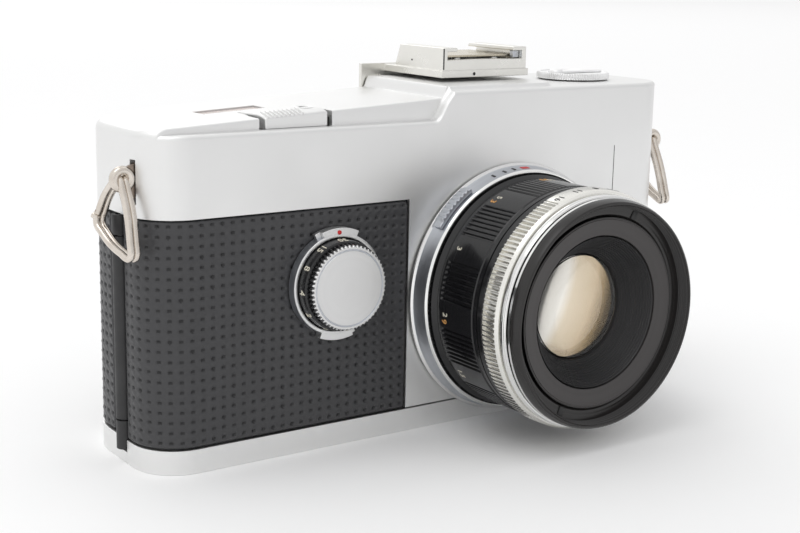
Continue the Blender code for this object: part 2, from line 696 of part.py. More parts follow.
def make_rewind():
    turn = joint("rewind_knob_joint", (CASSETTE_X, CASSETTE_Y, 69))
    knob = cylinder("rewind_knob", "Z", (CASSETTE_X, CASSETTE_Y), 9.9, 69.0, 70.2, SATIN)
    recess = box("crank_recess", (CASSETTE_X - 8.6, CASSETTE_Y - 2.6, 69.5),
                 (CASSETTE_X + 8.6, CASSETTE_Y + 2.6, 72))
    cut(knob, recess)
    shaft = cylinder("rewind_shaft", "Z", (CASSETTE_X, CASSETTE_Y), 2.2, 41.0, 68.7, STEEL,
                     segments=24)
    fork = box("fork_slot", (CASSETTE_X - 0.7, CASSETTE_Y - 3, 40), (CASSETTE_X + 0.7,
               CASSETTE_Y + 3, 45))
    cut(shaft, fork)
    hang(turn, knob, shaft)
    hinge = joint("rewind_crank_joint", (CASSETTE_X + 7.6, CASSETTE_Y, 70.1), turn)
    crank = box("rewind_crank", (CASSETTE_X - 8.2, CASSETTE_Y - 2.2, 69.8),
                (CASSETTE_X + 7.9, CASSETTE_Y + 2.2, 70.4), STEEL)
    grip = cylinder("crank_grip", "Z", (CASSETTE_X - 5.8, CASSETTE_Y), 1.9, 70.2, 70.8,
                    segments=24)
    join(crank, grip)
    hang(hinge, crank)


def make_shoe():
    y0, y1 = -5.0, 17.0
    x0, x1 = SHOE_X - 11.45, SHOE_X + 11.45
    shoe = box("accessory_shoe", (x0, y0, 70.3), (x1, y1 - 0.4, 71.8), SATIN)
    half, inner, lip = 11.0, 9.9, 7.4
    right = [(half, 71.5), (half, 76.4), (lip, 76.4), (lip, 75.6), (inner, 75.6), (inner, 73.9)]
    section = [(SHOE_X + u, v) for u, v in right]
    section += [(SHOE_X - u, v) for u, v in reversed(right)]
    rails = plate("shoe_rails", [section], y0 + 0.3, y1 - 1.2, plane="XZ")
    square = [(SHOE_X - 17.6, 49.0), (SHOE_X + 17.6, 49.0), (SHOE_X + 17.6, 72.0),
              (SHOE_X - 17.6, 72.0)]
    rear = plate("shoe_rear", [square, circle((LENS_X, EYEPIECE_Z), 8.4, 40)], 16.05, y1,
                 plane="XZ")
    join(shoe, rails, rear)
    box("shoe_spring", (SHOE_X - 9.3, -2.0, 74.3), (SHOE_X + 9.3, 13.0, 74.7), SPRING_STEEL)


def make_eyepiece():
    profile = [(10.0, -17.4), (10.0, -19.2), (6.5, -19.2), (6.5, -12.8), (7.9, -12.8),
               (7.9, -17.4)]
    turned("eyepiece_frame", profile, (LENS_X, EYEPIECE_Z), BLACK_ENAMEL, steps=40)
    lens = [(0, -16.4), (4.0, -16.2), (6.1, -15.6), (6.1, -14.4), (0, -14.4)]
    lens.reverse()
    turned("eyepiece_lens", lens, (LENS_X, EYEPIECE_Z), GLASS, steps=40, closed=False)


def make_sync_socket():
    socket = cylinder("sync_socket", "X", (4.0, 56.0), 2.4, 60.0, 64.3, STEEL, segments=24)
    cut(socket, cylinder("sync_core", "X", (4.0, 56.0), 1.4, 62.0, 66, segments=16))


# ---------------------------------------------------------------- speed dial
def make_speed_dial():
    base = ring_profile(8.4, DIAL_BASE_R, -FRONT + 0.25, DIAL_BASE_FRONT)
    index = turned("dial_index_ring", base, (DIAL_X, DIAL_Z), SATIN)
    for name, middle, half in (("index_tab", 90, 26), ("lower_tab", 270, 22)):
        centre = (DIAL_X, DIAL_Z)
        outline = arc(centre, 11.6, middle - half, middle + half, 8)
        outline += arc(centre, DIAL_BASE_R - 0.5, middle + half, middle - half, 8)
        join(index, plate(name, [outline], -DIAL_BASE_FRONT, FRONT - 0.25, plane="XZ"))
    turn = joint("speed_dial_joint", (DIAL_X, -DIAL_CAP_FRONT, DIAL_Z))
    ring = [(7.6, DIAL_CAP_FRONT - 1.3), (7.9, DIAL_BASE_FRONT + 0.5), (8.1, -FRONT - 0.6),
            (3.0, -FRONT - 0.6), (3.0, DIAL_CAP_FRONT - 1.3)]
    number_ring = turned("dial_number_ring", ring, (DIAL_X, DIAL_Z), BLACK_ENAMEL)
    cap = [(0, DIAL_CAP_FRONT), (DIAL_CAP_R - 0.3, DIAL_CAP_FRONT),
           (DIAL_CAP_R, DIAL_CAP_FRONT - 0.3), (DIAL_CAP_R, DIAL_CAP_FRONT - 1.0),
           (0, DIAL_CAP_FRONT - 1.0)]
    knob = turned("dial_cap", cap, (DIAL_X, DIAL_Z), SATIN, closed=False)
    shaft = cylinder("dial_shaft", "Y", (DIAL_X, DIAL_Z), 2.2, -DIAL_CAP_FRONT + 1.3, -6.0,
                     STEEL, segments=24)
    hang(turn, number_ring, knob, shaft)


# ---------------------------------------------------------------- film transport
def make_transport():
    spool = joint("spool_joint", (SPOOL_X, SPOOL_Y, 26))
    profile = [(0, 46.8), (8.6, 46.8), (8.6, 45.6), (5.2, 45.6), (5.2, 7.4), (8.6, 7.4),
               (8.6, 6.2), (0, 6.2)]
    hang(spool, turned("take_up_spool", profile, (SPOOL_X, SPOOL_Y), BLACK_MATT, "up", 32,
                       closed=False))
    sprocket = joint("sprocket_joint", (SPROCKET_X, SPROCKET_Y, 26))
    body = [(0, 46.8), (4.6, 46.8), (4.6, 44.4), (5.2, 44.4), (5.2, 41.6), (3.4, 41.6),
            (3.4, 12.4), (5.2, 12.4), (5.2, 9.6), (4.6, 9.6), (4.6, 6.2), (0, 6.2)]
    hang(sprocket, turned("film_sprocket", body, (SPROCKET_X, SPROCKET_Y), STEEL, "up", 32,
                          closed=False))


# ---------------------------------------------------------------- mirror, shutter, finder
def make_mirror():
    swing = joint("mirror_joint", (MIRROR_X, MIRROR_Y, LENS_Z))
    along = Vector((1, -1)).normalized()
    face = Vector((-1, -1)).normalized()
    start = Vector((MIRROR_X, MIRROR_Y))
    corners = [start + along * 0.4, start + along * MIRROR_LENGTH]
    outline = [tuple(corners[0]), tuple(corners[1]), tuple(corners[1] - face * 1.2),
               tuple(corners[0] - face * 1.2)]
    mirror = plate("mirror", [outline], LENS_Z - 12, LENS_Z + 12, MIRROR)
    hang(swing, mirror)


def make_shutter():
    spin = joint("shutter_joint", (SHUTTER_X, SHUTTER_FRONT, LENS_Z))
    centre = (SHUTTER_X, LENS_Z)
    outline = arc(centre, SHUTTER_R, -100, 100, 32) + arc(centre, 4.0, 110, 250, 8)
    disc = plate("shutter_disc", [outline], SHUTTER_FRONT + 0.4, SHUTTER_BACK - 0.6, STEEL, "XZ")
    join(disc, cylinder("shutter_hub", "Y", centre, 1.2, SHUTTER_FRONT + 0.6, FILM_PLANE - 0.8,
                        segments=24))
    hang(spin, disc)


def make_finder():
    screen_low, screen_high = LENS_Z - 12.0, LENS_Z + 12.0
    box("focusing_screen", (SCREEN_X - 0.5, -10.6, screen_low), (SCREEN_X + 0.5, 7.4, screen_high),
        GLASS)
    right = SCREEN_X - 1.4
    wedge = [(right, LENS_Z - 6.8), (right, LENS_Z + 6.8), (right - 13.6, LENS_Z + 6.8)]
    plate("lower_prism", [wedge], -8.4, 5.2, GLASS, "XZ")
    middle = right - 6.8
    cylinder("relay_lens", "Z", (middle, -1.6), 6.0, 41.0, 44.0, GLASS, segments=32)
    roof = [(middle - 7, 50.0), (middle + 7, 64.0), (middle - 7, 64.0)]
    plate("finder_mirror", [roof], -8.6, 5.4, GLASS, "XZ")
    prism = [(LENS_X - 7, -2.0), (LENS_X + 7, -2.0), (LENS_X + 7, 12.0)]
    plate("eyepiece_prism", [prism], EYEPIECE_Z - 5.5, EYEPIECE_Z + 6.5, GLASS, "XY")


# ---------------------------------------------------------------- lens
def lens_ring(name, profile, mat, steps=LENS_STEPS):
    return turned(name, profile, (LENS_X, LENS_Z), mat, steps=steps)


def make_lens_mount():
    lens_ring("lens_mount_flange", ring_profile(17.2, 19.8, -FRONT - 0.7, FLANGE_AT - GAP), STEEL)
    lens_ring("lens_bayonet", ring_profile(13.5, 16.7, 12.9, 20.4), STEEL)
    body = [(24.87, REAR_RING_FRONT), (25.5, 18.2), (25.7, 17.2), (25.3, FLANGE_AT),
            (17.3, FLANGE_AT), (17.3, REAR_RING_FRONT)]
    lens_ring("lens_rear_ring", body, SATIN)


def make_release_button():
    push = joint("lens_release_joint", (RELEASE_X, FRONT, RELEASE_Z))
    profile = [(0, 18.2), (2.3, 18.2), (2.6, 17.9), (2.6, 15.2), (0, 15.2)]
    hang(push, turned("lens_release_button", profile, (RELEASE_X, RELEASE_Z), SATIN, steps=24,
                      closed=False))


def make_preview_lever():
    turn = joint("preview_joint", (LENS_X, -18, LENS_Z))
    centre = (LENS_X, LENS_Z)
    outline = arc(centre, 27.3, 131, 155, 10) + arc(centre, 26.05, 155, 131, 10)
    lever = plate("preview_lever", [outline], -19.4, -16.5, STEEL, "XZ")
    hang(turn, lever)


def make_focus_group():
    turn = joint("focus_joint", (LENS_X, -FOCUS_FRONT, LENS_Z))
    focus = [(23.4, FOCUS_FRONT), (23.7, 34.5), (23.7, 24.0), (23.4, REAR_RING_FRONT + GAP),
             (20.4, REAR_RING_FRONT + GAP), (20.4, FOCUS_FRONT)]
    hang(turn, lens_ring("focus_ring", focus, BLACK_ENAMEL))
    slide = joint("focus_slide", (LENS_X, -LENS_FRONT, LENS_Z))
    barrel = [(22.44, LENS_FRONT), (22.8, TRIM_FRONT + GAP), (20.0, TRIM_FRONT + GAP),
              (20.0, 24.0), (18.4, 24.0), (18.4, 41.6), (19.5, 43.2), (21.6, 43.4),
              (21.6, LENS_FRONT)]
    trim = ring_profile(20.4, 23.3, APERTURE_FRONT + GAP, TRIM_FRONT)
    name_ring = [(19.1, 43.5), (18.0, 42.9), (18.0, 41.9), (15.3, 41.9), (15.3, 42.9)]
    cone = [(15.0, 42.7), (15.0, 36.2), (10.8, 36.2), (10.8, 37.0)]
    front = [(0, 39.3), (5.4, 38.7), (FRONT_GLASS_R, 37.0), (FRONT_GLASS_R, 34.6), (0, 34.6)]
    rear = [(0, 20.5), (8.8, 20.5), (8.8, 18.0), (4.5, 17.1), (0, 16.8)]
    cell = [(17.9, 41.5), (17.9, 24.4), (9.2, 17.4), (9.2, 22.0), (10.2, 26.0), (10.2, 33.8),
            (10.8, 34.2), (10.8, 35.8), (15.3, 35.8), (15.3, 41.5)]
    pieces = [
        lens_ring("lens_barrel", barrel, BLACK_ENAMEL),
        lens_ring("trim_ring", trim, POLISHED),
        lens_ring("name_ring", name_ring, BLACK_MATT),
        lens_ring("inner_cone", cone, BLACK_MATT),
        lens_ring("lens_cell", cell, BLACK_MATT, 40),
        turned("front_element", front, (LENS_X, LENS_Z), GLASS, steps=48, closed=False),
        turned("rear_element", rear, (LENS_X, LENS_Z), GLASS, steps=40, closed=False),
        lens_ring("iris_stop", ring_profile(4.2, 9.8, 28.0, 28.4), BLACK_MATT, 32),
    ]
    hang(slide, *pieces)
    stop = joint("aperture_joint", (LENS_X, -APERTURE_FRONT, LENS_Z), slide)
    ring = [(23.5, APERTURE_FRONT), (23.9, 39.9), (24.0, FOCUS_FRONT + 0.6),
            (23.6, FOCUS_FRONT + GAP), (20.4, FOCUS_FRONT + GAP), (20.4, APERTURE_FRONT)]
    hang(stop, lens_ring("aperture_ring", ring, SATIN))


def build():
    make_body_casting()
    make_top_cover()
    make_base_plate()
    make_front_leather()
    make_base_fittings()
    make_latch()
    make_back_door()
    make_strap_fittings()
    make_shutter_button()
    make_counter()
    make_wind_lever()
    make_rewind()
    make_shoe()
    make_eyepiece()
    make_sync_socket()
    make_speed_dial()
    make_transport()
    make_mirror()
    make_shutter()
    make_finder()
    make_lens_mount()
    make_release_button()
    make_preview_lever()
    make_focus_group()


build()
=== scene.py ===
"""Looks of a half frame single-lens reflex camera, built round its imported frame.

Lengths are millimetres in the part's own frame: X to the viewer's right, the front faces -Y, Z up.
They become metres where a mesh is made. Points on the lens are (radius, angle, distance forward).
"""

import bisect
import json
import random
from math import asin, copysign, cos, degrees, dist, hypot, pi, radians, sin, sqrt

import bmesh
import bpy
from mathutils import Euler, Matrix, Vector, noise

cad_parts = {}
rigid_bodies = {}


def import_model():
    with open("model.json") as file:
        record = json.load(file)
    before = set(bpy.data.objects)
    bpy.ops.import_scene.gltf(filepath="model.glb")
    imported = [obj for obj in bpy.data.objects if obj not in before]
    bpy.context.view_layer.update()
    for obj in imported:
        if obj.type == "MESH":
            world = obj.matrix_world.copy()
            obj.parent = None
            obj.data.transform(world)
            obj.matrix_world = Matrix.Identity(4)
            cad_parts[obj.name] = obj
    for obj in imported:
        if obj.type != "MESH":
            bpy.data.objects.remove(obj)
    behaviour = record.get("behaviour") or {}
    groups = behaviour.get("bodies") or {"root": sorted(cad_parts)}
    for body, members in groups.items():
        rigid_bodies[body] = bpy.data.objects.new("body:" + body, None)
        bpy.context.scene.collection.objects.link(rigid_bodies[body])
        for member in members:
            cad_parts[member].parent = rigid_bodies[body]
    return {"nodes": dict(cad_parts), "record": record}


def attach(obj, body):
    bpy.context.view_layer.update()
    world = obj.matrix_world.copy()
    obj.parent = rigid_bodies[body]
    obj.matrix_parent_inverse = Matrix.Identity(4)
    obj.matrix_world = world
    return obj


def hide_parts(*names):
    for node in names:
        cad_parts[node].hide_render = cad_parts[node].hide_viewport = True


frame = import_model()
bpy.context.view_layer.update()

MM = 0.001
HALF_WIDTH = 63.1
FRONT = -15.75
BACK = 15.75
CORNER_FRONT = 9.0
CORNER_REAR = 11.0
LENS_X = 18.8
LENS_Z = 27.4
DIAL_X = -25.1
DIAL_Z = 33.2
KNOB_X = 46.9
KNOB_Y = -1.0
COUNTER_X = -39.6
COUNTER_Y = 6.6
LUG_X = 64.2
LUG_Y = -8.7
LUG_Z = 55.0
random.seed(7)


# ---------------------------------------------------------------- camera, light and floor
def make_camera():
    data = bpy.data.cameras.new("camera")
    data.lens = 63.554
    data.sensor_width = 36.0
    data.clip_start = 0.01
    camera = show(bpy.data.objects.new("camera", data))
    camera.location = Vector((-165.84, -240.18, 94.07)) * MM
    camera.rotation_euler = Euler([radians(a) for a in (77.726, -1.125, -34.636)], "XYZ")
    bpy.context.scene.camera = camera


def add_node(tree, kind, sources=(), values=(), operation=None):
    """One shader node: sources are (socket, output to link in), values are (socket, number)."""
    made = tree.nodes.new("ShaderNode" + kind)
    if operation:
        made.operation = operation
    for socket, value in values:
        made.inputs[socket].default_value = value
    for socket, source in sources:
        tree.links.new(source, made.inputs[socket])
    return made


def add_ramp(tree, source, tones):
    """A colour ramp; tones are (position, colour)."""
    ramp = add_node(tree, "ValToRGB", [(0, source)])
    while len(ramp.color_ramp.elements) < len(tones):
        ramp.color_ramp.elements.new(0.5)
    for element, (at, colour) in zip(ramp.color_ramp.elements, tones):
        element.position = at
        element.color = (*colour, 1)
    return ramp.outputs[0]


def make_world():
    """A white studio whose light falls off towards the front right."""
    bpy.context.scene.view_settings.view_transform = "Standard"
    world = bpy.data.worlds.new("studio")
    bpy.context.scene.world = world
    world.use_nodes = True
    tree = world.node_tree
    tree.nodes.clear()
    coordinates = add_node(tree, "TexCoord")
    facing = add_node(tree, "VectorMath", [(0, coordinates.outputs["Generated"])],
                      [(1, (0.76, -0.65, 0.0))], "DOT_PRODUCT")
    sky = add_ramp(tree, facing.outputs["Value"],
                   ((0.10, (1.0, 1.0, 1.0)), (0.92, (0.72, 0.72, 0.73))))
    background = add_node(tree, "Background", [("Color", sky)], [("Strength", 1.0)])
    add_node(tree, "OutputWorld", [(0, background.outputs[0])])


def area_light(name, place, size, power):
    """A soft rectangle of light, turned to the middle of the camera."""
    data = bpy.data.lights.new(name, "AREA")
    data.shape = "RECTANGLE"
    data.size = size[0] * MM
    data.size_y = size[1] * MM
    data.energy = power
    light = show(bpy.data.objects.new(name, data))
    light.location = Vector(place) * MM
    direction = Vector((0, 0, 20)) - Vector(place)
    light.rotation_euler = direction.to_track_quat("-Z", "Y").to_euler()


def make_stage():
    half = 6000
    floor = mesh_object("floor", [(-half, -half, 0), (half, -half, 0), (half, half, 0),
                                  (-half, half, 0)], [(0, 1, 2, 3)])
    paper = finish("floor_paper", (0.955,) * 3, (0.965,) * 3, 0.9, 0.0, (400, 0.02))
    floor.data.materials.append(paper)
    area_light("top_softbox", (-260, -60, 640), (420, 420), 0.6)
    area_light("rear_softbox", (500, 2600, 1900), (1600, 900), 7.5)


# ---------------------------------------------------------------- materials
def finish(name, colour, second, roughness, metallic=0.0, grain=None, mottle=60, turned=None,
           spread=0.08, coat=0.0, ior=1.45, clear=0.0):
    """A Principled material: two colours mixed by a noise, uneven roughness, grain bump.

    grain is (scale per metre, depth in mm), mottle the scale of the patches, turned the
    (axis, centre) of lathe marks.
    """
    material = bpy.data.materials.new(name)
    material.use_nodes = True
    tree = material.node_tree
    shader = tree.nodes["Principled BSDF"]
    for socket, value in (("Metallic", metallic), ("Coat Weight", coat), ("Coat Roughness", 0.08),
                          ("IOR", ior), ("Transmission Weight", clear)):
        shader.inputs[socket].default_value = value
    place = add_node(tree, "TexCoord").outputs["Object"]
    if turned:
        place = lathe_space(tree, place, turned)
    mix = add_node(tree, "Mix")
    mix.data_type = "RGBA"
    mix.inputs["A"].default_value = (*colour, 1)
    mix.inputs["B"].default_value = (*second, 1)
    tree.links.new(add_noise(tree, place, mottle, 3), mix.inputs["Factor"])
    tree.links.new(mix.outputs["Result"], shader.inputs["Base Color"])
    patches = add_noise(tree, place, mottle * 3.1, 4)
    rough = add_node(tree, "MapRange", [("Value", patches)], [
        ("From Min", 0.3), ("From Max", 0.7), ("To Min", max(0.02, roughness - spread)),
        ("To Max", min(1.0, roughness + spread))])
    tree.links.new(rough.outputs["Result"], shader.inputs["Roughness"])
    if grain:
        scale, depth = grain
        bump = add_node(tree, "Bump", [("Height", add_noise(tree, place, scale, 3))],
                        [("Strength", 1.0), ("Distance", depth * MM)])
        tree.links.new(bump.outputs["Normal"], shader.inputs["Normal"])
    return material


def add_noise(tree, place, scale, detail):
    return add_node(tree, "TexNoise", [("Vector", place)],
                    [("Scale", scale), ("Detail", detail)]).outputs["Fac"]


def lathe_space(tree, place, turned):
    """Turns a place into (radius, height) about an axis, so a noise there makes lathe rings."""
    axis, centre = turned
    shift = add_node(tree, "VectorMath", [(0, place)], [(1, [c * MM for c in centre])],
                     "SUBTRACT").outputs[0]
    across = (1, 0, 1) if axis == "Y" else (1, 1, 0)
    flat = add_node(tree, "VectorMath", [(0, shift)], [(1, across)], "MULTIPLY")
    length = add_node(tree, "VectorMath", [(0, flat.outputs[0])], operation="LENGTH")
    split = add_node(tree, "SeparateXYZ", [(0, shift)])
    join = add_node(tree, "CombineXYZ",
                    [(0, length.outputs["Value"]), (1, split.outputs[axis])])
    return join.outputs[0]


LENS_AXIS = ("Y", (LENS_X, 0, LENS_Z))
DIAL_AXIS = ("Y", (DIAL_X, 0, DIAL_Z))
KNOB_AXIS = ("Z", (KNOB_X, KNOB_Y, 0))

CHROME = finish("satin_chrome", (0.84, 0.84, 0.835), (0.8, 0.8, 0.795), 0.44, 1.0, (2600, 0.004),
                26, spread=0.06)
CHROME_SHOE = finish("shoe_nickel", (0.84, 0.83, 0.79), (0.76, 0.75, 0.71), 0.3, 1.0,
                     (2600, 0.004), 60, spread=0.06)
CHROME_LENS = finish("turned_chrome", (0.86, 0.85, 0.81), (0.78, 0.77, 0.73), 0.24, 1.0,
                     (4200, 0.0015), 900, turned=LENS_AXIS, spread=0.03)
CHROME_DIAL = finish("turned_dial_chrome", (0.76, 0.76, 0.76), (0.72, 0.72, 0.72), 0.4, 1.0,
                     (4200, 0.0015), 900, turned=DIAL_AXIS, spread=0.03)
CHROME_KNOB = finish("turned_knob_chrome", (0.92, 0.92, 0.92), (0.88, 0.88, 0.88), 0.42, 1.0,
                     (4200, 0.004), 900, turned=KNOB_AXIS)
BRIGHT = finish("bright_chrome", (0.88, 0.88, 0.87), (0.82, 0.82, 0.81), 0.1, 1.0, (1500, 0.001),
                spread=0.04)
# Darker grey metal: the own colour of some small parts, and painted shade or a painted dark
# reflection where it marks the dial ring's side, the cap's groove and the mount ring's band.
DARK_METAL_AND_PAINTED_SHADE = finish("dark_metal_and_painted_shade", (0.6, 0.62, 0.66), (0.52, 0.54, 0.58), 0.38, 1.0, (3600, 0.003), 800,
              turned=LENS_AXIS)
NICKEL = finish("worn_nickel", (0.78, 0.73, 0.67), (0.58, 0.52, 0.46), 0.2, 1.0, (1800, 0.008),
                420, spread=0.1)
BROWNED = finish("browned_steel", (0.34, 0.28, 0.23), (0.22, 0.17, 0.14), 0.42, 1.0, (1500, 0.01),
                 500)
STEEL = finish("bare_steel", (0.58, 0.58, 0.57), (0.5, 0.5, 0.49), 0.3, 1.0, (1900, 0.004), 200)
ENAMEL = finish("black_enamel", (0.012, 0.012, 0.013), (0.02, 0.02, 0.021), 0.26, 0.0,
                (1400, 0.004), 300, coat=0.15)
ANODISED = finish("black_anodised", (0.005, 0.005, 0.006), (0.01, 0.01, 0.011), 0.2, 0.0,
                  (3400, 0.002), 700, turned=LENS_AXIS, coat=0.2)
RIM = finish("satin_black_rim", (0.014, 0.013, 0.013), (0.024, 0.022, 0.021), 0.24, 0.0,
             (3600, 0.003), 700, turned=LENS_AXIS)
NAME = finish("name_ring_satin", (0.04, 0.037, 0.037), (0.056, 0.051, 0.05), 0.4, 0.0,
              (4200, 0.005), 900, turned=LENS_AXIS)
MATT = finish("matt_black", (0.02, 0.02, 0.021), (0.03, 0.03, 0.031), 0.62, 0.0, (1500, 0.006),
              300)
CONE = finish("grooved_black", (0.03, 0.03, 0.031), (0.042, 0.041, 0.042), 0.45, 0.0,
              (3600, 0.004), 600, turned=LENS_AXIS)
LEATHER = finish("leatherette", (0.036, 0.036, 0.038), (0.052, 0.052, 0.055), 0.4, 0.0,
                 (2600, 0.035), 900, spread=0.1)
# Darker leatherette for the faces inside the pits: painted shade.
PIT_PAINTED_SHADE = finish("leatherette_pit_painted_shade", (0.012, 0.012, 0.013), (0.02, 0.02, 0.021), 0.4, 0.0,
             (2600, 0.02), 900)
CASTING = finish("black_casting", (0.022, 0.022, 0.023), (0.034, 0.034, 0.035), 0.5, 0.0,
                 (900, 0.012), 200)
SPRING = finish("spring_steel", (0.62, 0.57, 0.46), (0.5, 0.45, 0.36), 0.28, 1.0, (1600, 0.004),
                220)
CREAM = finish("cream_fill", (0.8, 0.76, 0.64), (0.7, 0.66, 0.55), 0.6, 0.0, (3000, 0.004))
ORANGE = finish("orange_fill", (0.78, 0.4, 0.12), (0.66, 0.33, 0.1), 0.6, 0.0, (3000, 0.004))
RED = finish("red_fill", (0.62, 0.03, 0.03), (0.5, 0.02, 0.02), 0.5, 0.0, (3000, 0.004))
INK = finish("black_fill", (0.02, 0.02, 0.02), (0.04, 0.04, 0.04), 0.6, 0.0, (3000, 0.004))
WHITE = finish("white_fill", (0.8, 0.8, 0.78), (0.72, 0.72, 0.7), 0.6, 0.0, (3000, 0.004))


def make_painted_reflection_glass():
    """The glass behind the front lens, with a painted reflection: a painted white highlight on one
    side, then amber, then painted shade darkening to the far side.
    """
    material = finish("amber_glass_painted_reflection", (0.9, 0.9, 0.9), (0.8, 0.8, 0.8), 0.08, 0.9, spread=0.03)
    tree = material.node_tree
    lean = (0.93, 0.0, -0.36)
    middle = (lean[0] * LENS_X + lean[2] * LENS_Z) * MM
    place = add_node(tree, "TexCoord").outputs["Object"]
    across = add_node(tree, "VectorMath", [(0, place)], [(1, lean)], "DOT_PRODUCT")
    share = add_node(tree, "MapRange", [("Value", across.outputs["Value"])],
                     [("From Min", middle - 10.0 * MM), ("From Max", middle + 10.0 * MM)])
    # Painted reflection across the lens: amber, a white band standing for a bright light's
    # highlight, amber again, then painted shade down to near black.
    tones = ((0.0, (0.52, 0.34, 0.15)), (0.07, (1.0, 1.0, 0.98)), (0.30, (1.0, 1.0, 1.0)),
             (0.40, (0.80, 0.71, 0.58)), (0.64, (0.66, 0.54, 0.39)), (0.76, (0.36, 0.27, 0.16)),
             (0.88, (0.09, 0.065, 0.035)))
    tree.links.new(add_ramp(tree, share.outputs["Result"], tones),
                   tree.nodes["Principled BSDF"].inputs["Base Color"])
    return material


GLASS = finish("clear_glass", (1.0, 0.98, 0.94), (0.97, 0.96, 0.93), 0.03, mottle=40, spread=0.01,
               ior=1.52, clear=1.0)
WINDOW = finish("window_plastic", (0.93, 0.8, 0.75), (0.88, 0.76, 0.71), 0.1, 0.0, (700, 0.004),
                90, spread=0.03, ior=1.49, clear=0.45)
# The inner glass's material: amber with a painted reflection and painted shade.
AMBER_PAINTED_REFLECTION = make_painted_reflection_glass()
MIRROR = finish("silvered_mirror", (0.9, 0.9, 0.9), (0.86, 0.86, 0.86), 0.03, 1.0, spread=0.01)


# ---------------------------------------------------------------- shape helpers
def show(obj):
    bpy.context.scene.collection.objects.link(obj)
    return obj


class Shape:
    """Points in millimetres and faces with a material number, gathered from simple forms."""

    def __init__(self):
        self.points = []
        self.faces = []
        self.tags = []

    def add(self, points, faces, tag=0):
        start = len(self.points)
        self.points += [tuple(p) for p in points]
        self.faces += [[start + i for i in face] for face in faces]
        self.tags += list(tag) if isinstance(tag, (list, tuple)) else [tag] * len(faces)
        return self


RECORD = frame["record"]
BODY_OF = {node: body for body, nodes in RECORD["behaviour"]["bodies"].items() for node in nodes}


def settle(obj, node, stands_for=True):
    """The piece moves with the body of a CAD node and may stand for it."""
    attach(obj, BODY_OF[node])
    if stands_for:
        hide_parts(node)
    return obj


def mesh_object(name, points, faces):
    """A new object from points in millimetres."""
    mesh = bpy.data.meshes.new(name)
    mesh.from_pydata([[c * MM for c in p] for p in points], [], faces)
    return show(bpy.data.objects.new(name, mesh))


def face_outwards(mesh, merge=0.0):
    """Joins points nearer than merge metres, then turns all faces outwards."""
    form = bmesh.new()
    form.from_mesh(mesh)
    if merge:
        bmesh.ops.remove_doubles(form, verts=form.verts, dist=merge)
    bmesh.ops.recalc_face_normals(form, faces=form.faces)
    form.to_mesh(mesh)
    form.free()


def shade(mesh, angle):
    mesh.shade_smooth()
    mesh.set_sharp_from_angle(angle=radians(angle))


def piece(name, shape, node, *materials, angle=32, stands_for=True):
    """A visible piece from a shape, which stands for a CAD node."""
    obj = mesh_object(name, shape.points, shape.faces)
    for material in materials:
        obj.data.materials.append(material)
    obj.data.polygons.foreach_set("material_index", shape.tags)
    face_outwards(obj.data, 2e-7)
    shade(obj.data, angle)
    return settle(obj, node, stands_for)


def extra(name, shape, node, *materials, angle=32):
    """A visible piece that belongs to a CAD node but doesn't stand for it."""
    return piece(name, shape, node, *materials, angle=angle, stands_for=False)


def rounded(obj, width, segments=2):
    """Rounds a piece's edges and keeps its flat faces flat in the light."""
    bevel = obj.modifiers.new("edge", "BEVEL")
    bevel.width = width * MM
    bevel.segments = segments
    bevel.limit_method = "ANGLE"
    bevel.angle_limit = radians(35)
    bevel.use_clamp_overlap = True
    obj.modifiers.new("shade", "WEIGHTED_NORMAL").keep_sharp = True
    return obj


def refined(node, material, width, segments=2):
    """A CAD node's own solid with its flat faces joined up, its edges rounded and a finish."""
    form = bmesh.new()
    form.from_mesh(frame["nodes"][node].data)
    bmesh.ops.remove_doubles(form, verts=form.verts, dist=2e-6)
    bmesh.ops.dissolve_limit(form, angle_limit=radians(0.8), verts=form.verts,
                             edges=form.edges, use_dissolve_boundaries=False)
    obj = mesh_object(node + "_fine", [], [])
    form.to_mesh(obj.data)
    form.free()
    obj.data.materials.clear()
    obj.data.materials.append(material)
    for face in obj.data.polygons:
        face.material_index = 0
    shade(obj.data, 28)
    return rounded(settle(obj, node), width, segments)


def net(rows, columns, closed_rows=False, closed_columns=False):
    """The quads between points that lie row by row, joined end to start where closed."""
    faces = []
    for i in range(rows if closed_rows else rows - 1):
        k = (i + 1) % rows
        for j in range(columns if closed_columns else columns - 1):
            m = (j + 1) % columns
            faces.append((i * columns + j, k * columns + j, k * columns + m, i * columns + m))
    return faces


def soften(profile, radius, closed=True):
    """A turned section with its corners rounded. Points are (r, h, rib inwards, rib back)."""
    full = [Vector((*p, 0.0, 0.0)[:4]) for p in profile]
    out = []
    for i, tip in enumerate(full):
        if not closed and i in (0, len(full) - 1):
            out.append(tuple(tip))
            continue
        ends = []
        for near in (full[i - 1], full[(i + 1) % len(full)]):
            gap = hypot(near[0] - tip[0], near[1] - tip[1])
            ends.append(tip.lerp(near, min(radius / max(gap, 1e-6), 0.42)))
        out += [tuple(ends[0]), tuple((ends[0] + tip * 2 + ends[1]) / 4), tuple(ends[1])]
    return out


def lathe(profile, steps, place, ripple=None, closed=True, tag=None):
    """A section turned round an axis; ripple(angle), 0 to 1, pushes its ribbed points in."""
    full = [(*p, 0.0, 0.0)[:4] for p in profile]
    points = []
    for i in range(steps):
        angle = 2 * pi * i / steps
        depth = ripple(angle) if ripple else 0.0
        for r, h, inward, back in full:
            points.append(place(r - inward * depth, angle, h - back * depth))
    ends = zip(full, full[1:] + full[:1] * closed)
    tags = [tag((a[0] + b[0]) / 2, (a[1] + b[1]) / 2) if tag else 0 for a, b in ends]
    return points, net(steps, len(full), True, closed), tags * steps


def spun(profile, steps, place, ripple=None, closed=True, tag=None):
    """One lathe form as a shape of its own."""
    return Shape().add(*lathe(profile, steps, place, ripple, closed, tag))


